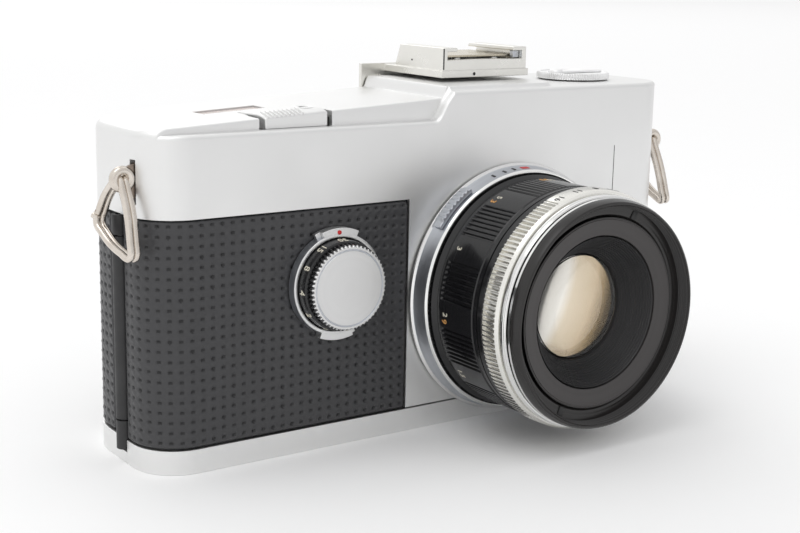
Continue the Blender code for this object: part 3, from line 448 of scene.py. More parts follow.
def facing_front(x, z):
    return lambda r, angle, h: (x + r * cos(angle), -h, z + r * sin(angle))


def upright(x, y, z=0.0):
    return lambda r, angle, h: (x + r * cos(angle), y + r * sin(angle), z + h)


def hanging(x, y, z):
    return lambda r, angle, h: (x + r * cos(angle), y - r * sin(angle), z - h)


def plate_on_front(x, z):
    return lambda u, v, w: (x + u, -w, z + v)


def along_z(u, v, w):
    return (u, v, w)


def along_y(u, v, w):
    return (u, w, v)


def along_x(u, v, w):
    return (w, u, v)


on_lens = facing_front(LENS_X, LENS_Z)
on_dial = facing_front(DIAL_X, DIAL_Z)
lens_plate = plate_on_front(LENS_X, LENS_Z)
dial_plate = plate_on_front(DIAL_X, DIAL_Z)


def prism(outline, low, high, place):
    """A flat outline given a thickness; place(u, v, w) puts it in the part."""
    count = len(outline)
    points = [place(u, v, low) for u, v in outline] + [place(u, v, high) for u, v in outline]
    faces = [list(range(count))[::-1], list(range(count, 2 * count))]
    faces += [(i, (i + 1) % count, count + (i + 1) % count, count + i) for i in range(count)]
    return points, faces


def arc(centre, radius, start, end, steps):
    out = []
    for i in range(steps + 1):
        a = radians(start + (end - start) * i / steps)
        out.append((centre[0] + radius * cos(a), centre[1] + radius * sin(a)))
    return out


def box_form(low, high):
    x0, y0, z0 = low
    x1, y1, z1 = high
    return prism([(x0, y0), (x1, y0), (x1, y1), (x0, y1)], z0, z1, along_z)


def tube(path, radius, sides=12, loop=True):
    """A round wire along a path of Vectors, closed on itself or with round ends."""
    points = []
    count = len(path)
    side = None
    for i, here in enumerate(path):
        after = path[(i + 1) % count] if loop or i + 1 < count else here
        before = path[i - 1] if loop or i else here
        ahead = (after - before).normalized()
        if side is None:
            side = ahead.orthogonal().normalized()
        side = (side - ahead * side.dot(ahead)).normalized()
        up = ahead.cross(side)
        for k in range(sides):
            a = 2 * pi * k / sides
            points.append(here + (side * cos(a) + up * sin(a)) * radius)
    faces = net(count, sides, loop, True)
    if not loop:
        faces += [range(sides)[::-1], range((count - 1) * sides, count * sides)]
    return points, faces


def evaluated(obj):
    """An object's mesh with its modifiers or text worked out."""
    graph = bpy.context.evaluated_depsgraph_get()
    return bpy.data.meshes.new_from_object(obj.evaluated_get(graph))


def engrave(shape, text, height, spot, tag=0):
    """Adds figures to a shape; spot(u, v, w) puts each of their points on the surface."""
    curve = bpy.data.curves.new("figures", "FONT")
    curve.body = text
    curve.size = height / 0.70
    curve.align_x = "CENTER"
    curve.align_y = "CENTER"
    curve.extrude = 0.07
    curve.resolution_u = 3
    holder = show(bpy.data.objects.new("figures", curve))
    mesh = evaluated(holder)
    shape.add([spot(*v.co) for v in mesh.vertices], [tuple(p.vertices) for p in mesh.polygons], tag)
    for made, kept in ((holder, bpy.data.objects), (curve, bpy.data.curves),
                       (mesh, bpy.data.meshes)):
        kept.remove(made)


def add_figures(name, node, rows, *materials):
    """Figures as one piece; each row is what engrave() takes."""
    figures = Shape()
    for row in rows:
        engrave(figures, *row)
    extra(name, figures, node, *materials)


def round_band(place, radius, angle, middle, lean=0.0):
    """Where figures go on a band: u runs round it, v forward along the axis, w outward."""
    turn = radians(angle)
    return lambda u, v, w: place(radius + w - lean * v, turn + u / radius, middle + v)


def saw(count, low=0.25, high=0.75):
    """Ribs: 0 on their tops, 1 in the grooves, with sloping sides."""
    def depth(angle):
        t = abs(2 * ((angle * count / (2 * pi)) % 1.0) - 1)
        return min(1.0, max(0.0, (t - low) / (high - low)))
    return depth


# ---------------------------------------------------------------- leatherette
PITCH_ALONG = 2.08
PITCH_UP = 1.95
PIT_LINES = (0.0, 0.22, 0.31, 0.42, 0.58, 0.69, 0.78)
PIT_DEPTH = 0.36
PIT_HALF = (0.56, 0.44)
SWELL_HALF = (0.6, 0.36)
SWELL_UP = 0.10
EDGE_DROP = 0.16
GRAIN_UP = 0.03
LEATHER_THICK = 0.45


def straight(start, end, normal, step=0.6):
    count = max(2, int(dist(start, end) / step))
    return [(start[0] + (end[0] - start[0]) * i / count, start[1] + (end[1] - start[1]) * i / count,
             *normal) for i in range(count + 1)]


def bend(centre, radius, start, end, steps=24):
    out = []
    for i in range(steps + 1):
        a = radians(start + (end - start) * i / steps)
        c, s = cos(a), sin(a)
        out.append((centre[0] + radius * c, centre[1] + radius * s, c, s))
    return out


def dome_at(u, v, half):
    """1 at the middle of an oval, 0 on its edge and beyond."""
    return max(0.0, 1 - (u / half[0]) ** 2 - (v / half[1]) ** 2)


def leather(name, node, route, low, high, round_corners, hole, seed):
    """A skin along a plan route (x, y, normal), with a grid of small pits and a fine grain; faces
    deep in the pits take a darker material as painted shade.
    """
    source = random.Random(seed)
    along = [0.0]
    for a, b in zip(route, route[1:]):
        along.append(along[-1] + dist(a[:2], b[:2]))
    length = along[-1]
    tall = high - low
    columns = round(length / PITCH_ALONG)
    rows = round(tall / PITCH_UP)
    s_lines = [(i + f) * length / columns for i in range(columns) for f in PIT_LINES] + [length]
    z_lines = [(j + f) * tall / rows for j in range(rows) for f in PIT_LINES] + [tall]
    pits = [[source.uniform(0.75, 1.15) for _ in range(rows)] for _ in range(columns)]

    def spot(s):
        k = min(max(bisect.bisect_right(along, s) - 1, 0), len(along) - 2)
        t = (s - along[k]) / max(along[k + 1] - along[k], 1e-9)
        return [a + (b - a) * t for a, b in zip(route[k], route[k + 1])]

    points, deep = [], []
    for s in s_lines:
        x, y, nx, ny = spot(s)
        for z in z_lines:
            i = min(int(s / length * columns), columns - 1)
            j = min(int(z / tall * rows), rows - 1)
            ds = s - (i + 0.5) * length / columns
            dz = z - (j + 0.5) * tall / rows
            pit = dome_at(ds, dz - 0.08, PIT_HALF) * PIT_DEPTH * pits[i][j]
            swell = dome_at(ds, dz + 0.55, SWELL_HALF) * SWELL_UP
            rim = min(s, length - s, z, tall - z)
            edge = EDGE_DROP * max(0.0, 1 - rim / 0.5) ** 2
            grain = GRAIN_UP * noise.noise(Vector((s * 1.3, z * 1.3, seed)))
            out = grain + swell - pit - edge
            u, w = corner_fit(s, z, length, tall, round_corners)
            if (u, w) != (s, z):
                x, y, nx, ny = spot(u)
            points.append((x + nx * out, y + ny * out, low + w))
            deep.append(pit)
    faces = [face for face in net(len(s_lines), len(z_lines))
             if not (hole and all(hole(points[k]) for k in face))]
    # Faces deep in a pit take the darker material: painted shade in the pits.
    tags = [1 if sum(deep[k] for k in face) > 0.50 else 0 for face in faces]
    obj = piece(name, Shape().add(points, faces, tags), node, LEATHER, PIT_PAINTED_SHADE, angle=60)
    x, y, nx, ny = route[len(route) // 3]
    sample = Vector((x, y, low + 8))
    nearest = min(obj.data.polygons, key=lambda f: (f.center / MM - sample).length)
    if nearest.normal.dot(Vector((nx, ny, 0))) < 0:
        obj.data.flip_normals()
    solid = obj.modifiers.new("thickness", "SOLIDIFY")
    solid.thickness = LEATHER_THICK * MM
    solid.offset = -1
    return obj


def corner_fit(s, z, length, tall, corners):
    """Pulls points of a square corner in to a round one; corners are (at end, at top, radius)."""
    for at_end, at_top, radius in corners:
        cs = length - radius if at_end else radius
        cz = tall - radius if at_top else radius
        ds = s - cs if at_end else cs - s
        dz = z - cz if at_top else cz - z
        far = hypot(ds, dz)
        if ds > 0 and dz > 0 and far > radius:
            k = radius / far
            return cs + (ds * k if at_end else -ds * k), cz + (dz * k if at_top else -dz * k)
    return s, z


def front_route(side, start, end):
    """Along the front to one side, round the corner and back along the end."""
    inset = 0.06
    arc_x, arc_y = side * (HALF_WIDTH - CORNER_FRONT), FRONT + CORNER_FRONT
    front, edge = FRONT + inset, side * (HALF_WIDTH - inset)
    return (straight((start, front), (arc_x, front), (0, -1))
            + bend((arc_x, arc_y), CORNER_FRONT - inset, 270, 270 + 90 * side)[1:]
            + straight((edge, arc_y), (edge, end), (side, 0))[1:])


def door_route(end=1.25):
    inset = 0.12
    rear_x, rear_y = HALF_WIDTH - CORNER_REAR, BACK - CORNER_REAR
    radius, edge, back = CORNER_REAR - inset, HALF_WIDTH - inset, BACK - inset
    return (straight((-edge, end), (-edge, rear_y), (-1, 0))
            + bend((-rear_x, rear_y), radius, 180, 90)[1:]
            + straight((-rear_x, back), (rear_x, back), (0, 1))[1:]
            + bend((rear_x, rear_y), radius, 90, 0)[1:]
            + straight((edge, rear_y), (edge, end), (1, 0))[1:])


def under_dial(point):
    x, y, z = point
    return hypot(x - DIAL_X, z - DIAL_Z) < 8.9 and y < -12


def make_leather():
    leather("leather_front_left", "front_leather_left", front_route(-1, -7.7, -4.3), 5.1, 47.6,
            [(False, True, 1.3), (False, False, 0.6)], under_dial, 1)
    leather("leather_front_right", "front_leather_right", front_route(1, 47.0, 0.4), 5.1,
            END_LOW - 0.1, [(False, True, 0.6), (False, False, 0.6)], None, 2)
    corners = [(at_end, at_top, 0.8) for at_end in (False, True) for at_top in (True, False)]
    leather("leather_door", "door_leather", door_route(), 5.3, 47.3, corners, None, 3)


# ---------------------------------------------------------------- speed dial
SPEEDS = ("30", "15", "8", "4", "2", "1", "B", "500", "250", "125", "60")
SPEED_STEP = 31.0


def make_dial():
    ring = soften([(9.05, 16.0), (10.0, 16.0), (9.85, 18.1), (9.05, 18.1)], 0.22)
    # The outer side of the index ring takes the darker metal as painted shade.
    index = spun(ring, 144, on_dial, tag=lambda r, h: 1 if r > 9.8 and h < 17.6 else 0)
    for middle, right, step, left in ((90, -24, 20, 26), (270, -22, 18, 24)):
        for first, last, height in ((right, step, 18.05), (step, left, 17.1)):
            outline = arc((0, 0), 10.95, middle + first, middle + last, 12)
            outline += arc((0, 0), 9.6, middle + last, middle + first, 12)
            index.add(*prism(outline, 16.05, height, dial_plate))
    rounded(piece("dial_index", index, "dial_index_ring", CHROME_DIAL, DARK_METAL_AND_PAINTED_SHADE), 0.12)
    dot = soften([(0, 18.25), (0.42, 18.25), (0.42, 17.9), (0, 17.9)], 0.1, closed=False)
    mark = spun(dot, 20, facing_front(DIAL_X, DIAL_Z + 10.1), closed=False)
    piece("dial_index_dot", mark, "dial_index_ring", RED)

    knurl = saw(58)
    band = [(3.0, 15.15), (8.1, 15.15), (8.1, 17.5), (8.92, 17.6), (8.92, 18.3), (8.74, 20.0),
            (8.5, 20.1), (8.42, 20.15, 0.42), (8.36, 20.85, 0.42), (7.2, 20.9), (3.0, 20.9)]
    body = spun(band, 58 * 8, on_dial, knurl,
                tag=lambda r, h: 1 if h > 20.05 and r > 7.3 else 0)
    piece("dial_numbers_ring", body, "dial_number_ring", ENAMEL, ANODISED, angle=40)
    add_figures("dial_figures", "dial_number_ring", [
        (text, 1.45, round_band(on_dial, 8.84, 90 + SPEED_STEP * i, 19.15, 0.1))
        for i, text in enumerate(SPEEDS)], CREAM)

    teeth = saw(58, 0.0, 1.0)
    cap = [(0, 21.92), (7.15, 22.0), (7.25, 21.86), (7.42, 21.86), (7.52, 22.0),
           (7.95, 22.0, 0.10), (8.3, 21.75, 0.50), (8.3, 21.3, 0.55), (7.9, 20.95, 0.20),
           (0, 20.95)]
    # The narrow groove in the cap's face takes the darker metal as painted shade.
    face = spun(cap, 58 * 8, on_dial, teeth, closed=False,
                tag=lambda r, h: 1 if 7.2 < r < 7.48 and h > 21.8 else 0)
    piece("dial_cap_turned", face, "dial_cap", CHROME_DIAL, DARK_METAL_AND_PAINTED_SHADE, angle=30)


# ---------------------------------------------------------------- lens
FOCUS_PANELS = 11
PANEL_START = 123.9
RIBS_IN_PANEL = 8
RIB_SPAN = 20.0
APERTURE_RIBS = 150


def focus_ribs(angle):
    turn = (degrees(angle) - PANEL_START) % (360 / FOCUS_PANELS)
    if turn > RIB_SPAN:
        return 0.0
    t = abs(2 * ((turn * RIBS_IN_PANEL / RIB_SPAN) % 1.0) - 1)
    return min(1.0, max(0.0, (0.62 - t) / 0.24))


def make_mount():
    rear = [(17.4, 16.3), (25.9, 16.3), (26.25, 16.55), (26.2, 16.8), (25.6, 16.95),
            (25.2, 20.2), (25.25, 20.3), (24.9, 20.75), (24.55, 20.75), (24.4, 20.4), (17.4, 20.4)]
    # The band between the ring's two bright edges takes the darker metal as a painted dark
    # reflection.
    ring = spun(soften(rear, 0.08), 240, on_lens, tag=lambda r, h: (
        2 if r < 24.5 and h > 20 else 1 if 16.9 < h < 20.22 and r > 24 else 0))
    piece("lens_rear_ring_turned", ring, "lens_rear_ring", BRIGHT, DARK_METAL_AND_PAINTED_SHADE, ENAMEL, angle=25)
    marks = Shape()
    for angle, width, tag in ((89.0, 0.9, 0), (95.5, 0.22, 1), (101.0, 0.22, 1),
                              (107.5, 0.22, 1), (133.0, 0.5, 0)):
        spot = round_band(on_lens, 25.38, angle, 18.7, 0.11)
        marks.add(*prism([(-width, -0.55), (width, -0.55), (width, 0.55), (-width, 0.55)],
                         -0.1, 0.09, spot), tag)
    extra("mount_marks", marks, "lens_rear_ring", RED, INK)


def make_preview_lever():
    teeth = 7
    outline = []
    for i in range(teeth * 6 + 1):
        a = radians(124 + 17 * i / (teeth * 6))
        r = 26.75 - 0.50 * (0.5 - 0.5 * cos(2 * pi * i / 6))
        outline.append((r * cos(a), r * sin(a)))
    outline = arc((0, 0), 26.3, 122, 123.5, 2) + outline + arc((0, 0), 26.2, 142, 145, 4)
    outline += arc((0, 0), 25.45, 145, 122, 16)
    lever = Shape().add(*prism(outline, 17.3, 19.6, lens_plate))
    rounded(piece("preview_tab", lever, "preview_lever", DARK_METAL_AND_PAINTED_SHADE), 0.12)


def make_focus_ring():
    section = [(20.4, 20.95), (24.1, 20.95), (24.25, 21.15), (23.6, 21.9), (23.5, 22.0),
               (23.32, 22.06), (23.32, 22.2), (23.5, 22.26), (23.5, 23.15), (23.72, 23.4),
               (23.72, 23.7, 0.42),
               (23.72, 33.0, 0.42), (23.70, 33.35), (23.52, 33.6), (23.52, 34.6),
               (23.30, 34.68), (23.30, 34.9), (23.5, 34.98), (23.45, 36.1), (23.1, 36.6),
               (20.4, 36.6)]
    grip = spun(section, 1440, on_lens, focus_ribs)
    piece("focus_grip", grip, "focus_ring", ANODISED, angle=30)
    rows = []
    scale = ("3", "2", "1.5", "1.2", "1", "0.8", "0.6", "0.5", "0.35", "10", "5")
    for i, text in enumerate(scale):
        angle = PANEL_START + i * 360 / FOCUS_PANELS
        rows.append((text, 1.35, round_band(on_lens, 23.70, angle + 26.5, 25.0)))
        if i % 2 == 0:
            spot = round_band(on_lens, 23.70, angle - 2.8, 24.6)
            rows.append((str(3 * (i + 1)), 1.5, spot, 1))
    add_figures("focus_figures", "focus_ring", rows, CREAM, ORANGE)


def make_aperture_ring():
    section = [(20.4, 36.95), (23.45, 36.95), (23.8, 37.0), (24.05, 37.1, 0.75),
               (24.0, 40.4, 0.75), (23.9, 40.75), (23.7, 41.1), (23.45, 41.4), (20.4, 41.4)]
    teeth = saw(APERTURE_RIBS, 0.35, 0.65)

    def ribs(angle):
        return 0.0 if 36 < degrees(angle) < 113 else teeth(angle)

    ring = spun(section, APERTURE_RIBS * 8, on_lens, ribs)
    piece("aperture_grip", ring, "aperture_ring", CHROME_LENS, angle=30)
    add_figures("aperture_figures", "aperture_ring", [
        (text, 1.5, round_band(on_lens, 24.0, 109 - 11.0 * i, 39.2))
        for i, text in enumerate(("16", "11", "8", "5.6", "4", "2.8", "2"))], INK)


def make_barrel():
    trim = [(20.4, 41.62), (22.9, 41.62), (23.25, 41.8), (23.25, 42.35), (23.05, 42.42),
            (23.05, 42.55), (23.22, 42.62), (23.1, 43.0), (20.4, 43.0)]
    ring = spun(soften(trim, 0.05), 240, on_lens)
    piece("trim_ring_turned", ring, "trim_ring", BRIGHT, angle=30)
    outer = [(20.0, 43.3), (22.75, 43.3), (22.85, 43.45), (22.8, 43.95), (22.62, 44.0),
             (22.62, 44.15), (22.78, 44.2), (22.72, 45.2), (22.35, 46.1), (22.05, 46.3),
             (21.85, 46.28), (21.72, 46.1)]
    threads = []
    for k in range(5):
        h = 46.0 - 0.48 * k
        threads += [(21.72, h), (21.48, h - 0.24)]
    inner = [(21.72, 43.6), (21.5, 43.42), (19.55, 43.22), (19.35, 43.05), (18.45, 41.7),
             (18.45, 24.1), (20.0, 24.1)]
    tube_form = lathe(outer + threads + inner, 240, on_lens,
                      tag=lambda r, h: 1 if r > 22.3 and h < 43.98 else 0)
    piece("barrel_turned", Shape().add(*tube_form), "lens_barrel", RIM, BRIGHT, angle=30)
    notches = Shape()
    for angle in (66.9, -115.4):
        a = radians(angle)
        side = Vector((-sin(a), cos(a)))
        out = Vector((cos(a), sin(a)))
        outline = []
        for r, t in ((19.5, -0.65), (21.2, -0.65), (21.2, 0.65), (19.5, 0.65)):
            outline.append(tuple(out * r + side * t))
        notches.add(*prism(outline, 43.1, 43.55, lens_plate))
    rounded(extra("barrel_notches", notches, "lens_barrel", INK), 0.1)


def make_lens_front():
    name = [(15.35, 42.0), (15.35, 42.85), (15.5, 42.98), (17.9, 43.36), (18.55, 43.46),
            (18.62, 43.36), (18.75, 43.38), (18.85, 43.5), (19.0, 43.5), (19.05, 43.4),
            (18.1, 42.9), (17.95, 42.0)]
    ring = spun(name, 240, on_lens, tag=lambda r, h: 1 if r > 18.8 else 0)
    piece("name_ring_turned", ring, "name_ring", NAME, RIM, angle=30)
    cone = [(15.05, 42.7)]
    grooves = 13
    for k in range(grooves):
        t = k / grooves
        r = 14.95 - 4.1 * t
        h = 42.55 - 5.35 * t
        cone += [(r, h), (r - 0.10, h - 0.29), (r - 0.22, h - 0.22)]
    cone += [(10.85, 37.1), (10.8, 36.4), (11.0, 36.25), (14.9, 36.25), (15.05, 36.4)]
    piece("cone_grooved", spun(cone, 200, on_lens), "inner_cone", CONE, angle=20)


def dome(radius, top, edge, back, rings=18):
    """The section of a lens element whose front is part of a ball, from the axis outwards."""
    drop = top - edge
    ball = (radius * radius + drop * drop) / (2 * drop)
    out = []
    for i in range(rings + 1):
        r = radius * i / rings
        out.append((r, top - ball + sqrt(ball * ball - r * r)))
    out += [(radius, back), (0, back)]
    return out


def make_glass():
    front = spun(dome(10.35, 39.3, 37.0, 36.3), 160, on_lens, closed=False)
    piece("front_glass", front, "front_element", GLASS, angle=50)
    inner = spun(dome(9.9, 36.05, 35.2, 34.7), 120, on_lens, closed=False)
    # The inner glass carries the painted reflection and painted shade.
    extra("inner_glass_painted_reflection", inner, "front_element", AMBER_PAINTED_REFLECTION, angle=50)


# ---------------------------------------------------------------- strap rings and lugs
RING_TOP = (0.5, 0.6, 1.8)
RING_BACK = (2.9, 6.7, -8.7)
RING_LOW = (0.9, -6.0, -14.9)
RING_ROUNDING = (3.4, 2.4, 4.2)
WIRE = 0.66


def ring_path(side, shift, steps=14):
    """The triangular ring's centre line, moved sideways out of its own plane."""
    centre = Vector((side * LUG_X, LUG_Y, LUG_Z))
    tips = [centre + Vector((side * u, v, w)) for u, v, w in (RING_TOP, RING_BACK, RING_LOW)]
    normal = (tips[1] - tips[0]).cross(tips[2] - tips[0]).normalized() * side
    path = []
    for i, tip in enumerate(tips):
        before = (tips[i - 1] - tip).normalized()
        after = (tips[(i + 1) % 3] - tip).normalized()
        start = tip + before * RING_ROUNDING[i]
        end = tip + after * RING_ROUNDING[i]
        for k in range(steps):
            t = k / (steps - 1)
            path.append(start * (1 - t) ** 2 + tip * 2 * t * (1 - t) + end * t ** 2)
        far = tips[(i + 1) % 3] - after * RING_ROUNDING[(i + 1) % 3]
        bulge = (end + far) / 2 - sum(tips, Vector()) / 3
        for k in range(1, 9):
            t = k / 9
            place = end.lerp(far, t)
            path.append(place + bulge.normalized() * 0.45 * sin(pi * t))
    return [p + normal * shift for p in path]


def make_strap_fittings():
    for side, name in ((-1, "left"), (1, "right")):
        ring = Shape()
        ring.add(*tube(ring_path(side, 0.60), WIRE, 14))
        second = ring_path(side, -0.60)
        start = 25
        path = second[start:] + second[:start - 2]
        out = Vector((side * 0.5, 0.8, 0.5)).normalized()
        path = [path[0] + out * 0.9] + path + [path[-1] + out * 0.5]
        ring.add(*tube(path, WIRE, 14, loop=False))
        piece(f"strap_ring_{name}_wire", ring, f"strap_ring_{name}", NICKEL, angle=50)
        refined(f"strap_lug_{name}", BROWNED, 0.12)
        eye = []
        for k in range(14):
            a = 2 * pi * k / 14
            eye.append((1.65 + 0.80 * cos(a), 8.7 + 0.95 * sin(a)))
        boss = spun(eye, 48, facing_front(side * (LUG_X + 0.7), LUG_Z))
        extra(f"lug_eye_{name}", boss, f"strap_lug_{name}", NICKEL, angle=50)


# ---------------------------------------------------------------- top cover
COVER_LOW = 47.9
DECK_RIGHT = 2.0
END_LOW = 36.0
END_SEAM = 46.85
PAD_Z = 69.5
PAD_RIGHT = 31.4
PAD_FRONT = -14.2
PAD_CORNER = 4.0
STRIP_Z = 68.7
LEDGE_Z = 63.0
RISER_Y = -13.25
WALL = 1.1
ROOF = 1.25


def deck_z(x):
    return 67.2 + 0.052 * (x - DECK_RIGHT)


def solid(points_and_faces):
    """A work mesh; cut and joined, never seen itself."""
    obj = mesh_object("work", *points_and_faces)
    face_outwards(obj.data)
    return obj


def carve(obj, others, operation="DIFFERENCE"):
    """Cuts or joins work meshes, then removes them."""
    for other in others:
        step = obj.modifiers.new("carve", "BOOLEAN")
        step.operation = operation
        step.solver = "EXACT"
        step.object = other
    mesh = evaluated(obj)
    obj.modifiers.clear()
    obj.data = mesh
    for other in others:
        bpy.data.objects.remove(other)
    return obj


def shell_outline(inset, steps=24):
    """The shell's plan, pulled in, from the front left corner round to the rear left one."""
    out = []
    for corner, along_side, start, edge in (
            (CORNER_FRONT, -1, 180, FRONT), (CORNER_FRONT, 1, 270, FRONT),
            (CORNER_REAR, 1, 0, BACK), (CORNER_REAR, -1, 90, BACK)):
        centre = (along_side * (HALF_WIDTH - corner), edge + copysign(corner, -edge))
        out += arc(centre, corner - inset, start, start + 90, steps)
    return out


def cover_hollow():
    """The inside of the cover: its stepped outside pulled in by the thickness of the metal."""
    low = COVER_LOW - 3
    body = solid(prism(shell_outline(WALL), low, STRIP_Z - ROOF, along_z))
    right, front, r = PAD_RIGHT - WALL, PAD_FRONT + WALL, PAD_CORNER - WALL
    pad = [(-1.0, front)] + arc((right - r, front + r), r, -90, 0, 12)
    pad += [(right, BACK - WALL), (-1.0, BACK - WALL)]
    carve(body, [solid(prism(pad, STRIP_Z - ROOF - 2.0, PAD_Z - ROOF, along_z))], "UNION")
    far, above, deep = -80.0, 80, 30
    roof = [(far, deck_z(far) - ROOF), (2.0 + WALL, deck_z(2.0) - ROOF),
            (2.8 + WALL, PAD_Z), (2.8 + WALL, above), (far, above)]
    ledge = [(far, LEDGE_Z - ROOF), (-1.4 + WALL, LEDGE_Z - ROOF),
             (-0.4 + WALL, LEDGE_Z + 0.15 - ROOF), (0.5 + WALL, LEDGE_Z + 0.8 - ROOF),
             (3.6 + WALL, STRIP_Z), (3.6 + WALL, above), (far, above)]
    return carve(body, [solid(prism(roof, -deep, deep, along_y)),
                        solid(prism(ledge, -deep, RISER_Y + WALL, along_y))])


def ease(t):
    t = min(1.0, max(0.0, t))
    return t * t * (3 - 2 * t)


def edge_distance(x, y):
    """How far inside the shell's plan a point lies."""
    front, rear = CORNER_FRONT, CORNER_REAR
    if abs(x) > HALF_WIDTH - front and y < FRONT + front:
        return front - hypot(abs(x) - HALF_WIDTH + front, y - FRONT - front)
    if abs(x) > HALF_WIDTH - rear and y > BACK - rear:
        return rear - hypot(abs(x) - HALF_WIDTH + rear, y - BACK + rear)
    return min(HALF_WIDTH - abs(x), y - FRONT, BACK - y)


def roll(distance, radius):
    """How far a rounded edge has dropped at a distance from it."""
    if distance >= radius:
        return 0.0
    inside = radius - max(distance, 0.0)
    return radius - sqrt(max(radius * radius - inside * inside, 0.0))


def cover_height(x, y):
    """The stepped top of the cover: deck, ledge, strip and pad, with soft edges."""
    corner = hypot(max(0.0, x - PAD_RIGHT + PAD_CORNER), max(0.0, PAD_FRONT + PAD_CORNER - y))
    pad_in = PAD_CORNER - corner if corner else min(PAD_RIGHT - x, y - PAD_FRONT)
    high = STRIP_Z + (PAD_Z - STRIP_Z) * ease((pad_in + 0.1) / 0.8)
    if y > RISER_Y:
        rise = ease((x - 1.7) / 1.3)
        top = deck_z(min(x, 3.0)) * (1 - rise) + high * rise
        top -= roll(y - RISER_Y, 0.4) * (1 - rise)
    else:
        t = (x + 1.4) / 4.6
        rise = min(1.0, max(0.0, t)) * ease(t * 1.3 + 0.15) if t > 0 else 0.0
        top = LEDGE_Z + (high - LEDGE_Z) * rise
    radius = 0.75 + 0.15 * (y < RISER_Y) + 0.9 * ease((-50 - x) / 8) * (y > RISER_Y)
    return top - roll(edge_distance(x, y), radius)


def grid_lines(edges, stretches):
    """Grid lines at the edges and through each (from, to, step) stretch."""
    out = {round(v, 4) for v in edges}
    for low, high, step in stretches:
        count = max(1, round((high - low) / step))
        out |= {round(low + (high - low) * i / count, 4) for i in range(count + 1)}
    return out


def corner_inset(x, corner):
    """How far the shell's edge stands back at x, next to a rounded corner."""
    arc_in = max(0.0, abs(x) - HALF_WIDTH + corner)
    return corner - sqrt(max(corner ** 2 - arc_in ** 2, 0.0))


def cover_solid():
    """The outside of the cover as one closed solid on a fine grid."""
    near = (0.0, 0.02, 0.06, 0.12, 0.2, 0.3, 0.43, 0.6, 0.8, 1.05, 1.35, 1.7)
    across = grid_lines([side * (HALF_WIDTH - t) for t in near for side in (-1, 1)], (
        (-61.1, -53.9, 0.4), (-53.4, -2.0, 1.9), (-1.6, 4.2, 0.14), (5.0, 26.6, 1.8),
        (27.0, 31.9, 0.25), (33.0, 53.4, 1.7), (53.9, 61.1, 0.4)))
    deep = grid_lines([FRONT + t for t in near] + [BACK - t for t in near], (
        (-13.9, -13.3, 0.15), (-12.6, -6.5, 0.35), (-5.6, 4.4, 1.4), (4.8, 13.9, 0.6)))
    deep |= {RISER_Y + t for t in (-0.001, 0.001, 0.03, 0.08, 0.15, 0.25, 0.4)}
    across, deep = sorted(across), sorted(deep)
    index, points, faces = {}, [], []

    def spot(x, y):
        y = min(max(y, FRONT + corner_inset(x, CORNER_FRONT)), BACK - corner_inset(x, CORNER_REAR))
        key = (round(x, 3), round(y, 3))
        if key not in index:
            index[key] = len(points)
            points.append((x, y, cover_height(x, y)))
        return index[key]

    for x0, x1 in zip(across, across[1:]):
        for y0, y1 in zip(deep, deep[1:]):
            face = []
            for k in (spot(x0, y0), spot(x1, y0), spot(x1, y1), spot(x0, y1)):
                if k not in face:
                    face.append(k)
            if len(face) > 2:
                faces.append(face)
    obj = mesh_object("cover_work", points, faces)
    form = bmesh.new()
    form.from_mesh(obj.data)
    rim = [e for e in form.edges if e.is_boundary]
    for part in bmesh.ops.extrude_edge_only(form, edges=rim)["geom"]:
        if isinstance(part, bmesh.types.BMVert):
            part.co.z = COVER_LOW * MM
    bmesh.ops.holes_fill(form, edges=[e for e in form.edges if e.is_boundary], sides=0)
    form.to_mesh(obj.data)
    form.free()
    face_outwards(obj.data)
    return obj


def cover_end():
    """The cover's right end comes further down the front, past a thin seam."""
    arc_x, arc_y = HALF_WIDTH - CORNER_FRONT, FRONT + CORNER_FRONT
    outline = [(END_SEAM, FRONT)] + arc((arc_x, arc_y), CORNER_FRONT, 270, 360, 24)
    outline += [(HALF_WIDTH, 0.4), (HALF_WIDTH - 0.6, 0.4)]
    outline += arc((arc_x, arc_y), CORNER_FRONT - 0.6, 360, 270, 24) + [(END_SEAM, FRONT + 0.6)]
    return solid(prism(outline, END_LOW, COVER_LOW + 1.0, along_z))


def round_bar(centre, radius, low, high, place):
    return solid(prism(arc(centre, radius, 0, 354, 59), low, high, place))


def make_cover():
    cover = cover_solid()
    carve(cover, [cover_hollow()])
    apron = solid(box_form((-7.4, FRONT, 5.0), (46.7, FRONT + 0.7, COVER_LOW + 1)))
    carve(cover, [apron, cover_end()], "UNION")
    slot = [(-39.7, -13.3), (-24.0, -13.3), (-24.0, -2.7), (-38.7, -2.7), (-38.8, -6.5),
            (-39.5, -9.0)]
    holes = [
        solid(prism(slot, 60, 75, along_z)),
        solid(box_form((-44.6, -0.4, 60), (-31.2, 4.5, 75))),
        solid(box_form((-58.5, 9.0, 52.4), (-17.0, 20, 56.8))),
        round_bar((LENS_X, 57.5), 8.3, 12, 20, along_y),
        round_bar((KNOB_X, KNOB_Y), 2.6, 60, 75, along_z),
        round_bar((LENS_X, LENS_Z), 20.2, FRONT - 2, FRONT + 1, along_y),
        round_bar((42.2, 11.0), 2.9, FRONT - 2, FRONT + 1, along_y),
        round_bar((4.0, 56.0), 2.7, 60, 66, along_x),
    ]
    for near, far in ((-66, -60), (60, 66)):
        holes.append(solid(box_form((near, LUG_Y - 0.8, LUG_Z - 4.7),
                                    (far, LUG_Y + 0.8, LUG_Z + 3.4))))
    carve(cover, holes)
    cover.data.materials.clear()
    cover.data.materials.append(CHROME)
    shade(cover.data, 30)
    cover.name = "top_cover_fine"
    settle(cover, "top_cover")
    seam = Shape().add(*box_form((46.68, FRONT - 0.012, END_LOW), (46.86, FRONT + 0.2, 55.5)))
    extra("top_cover_seam", seam, "top_cover", INK)


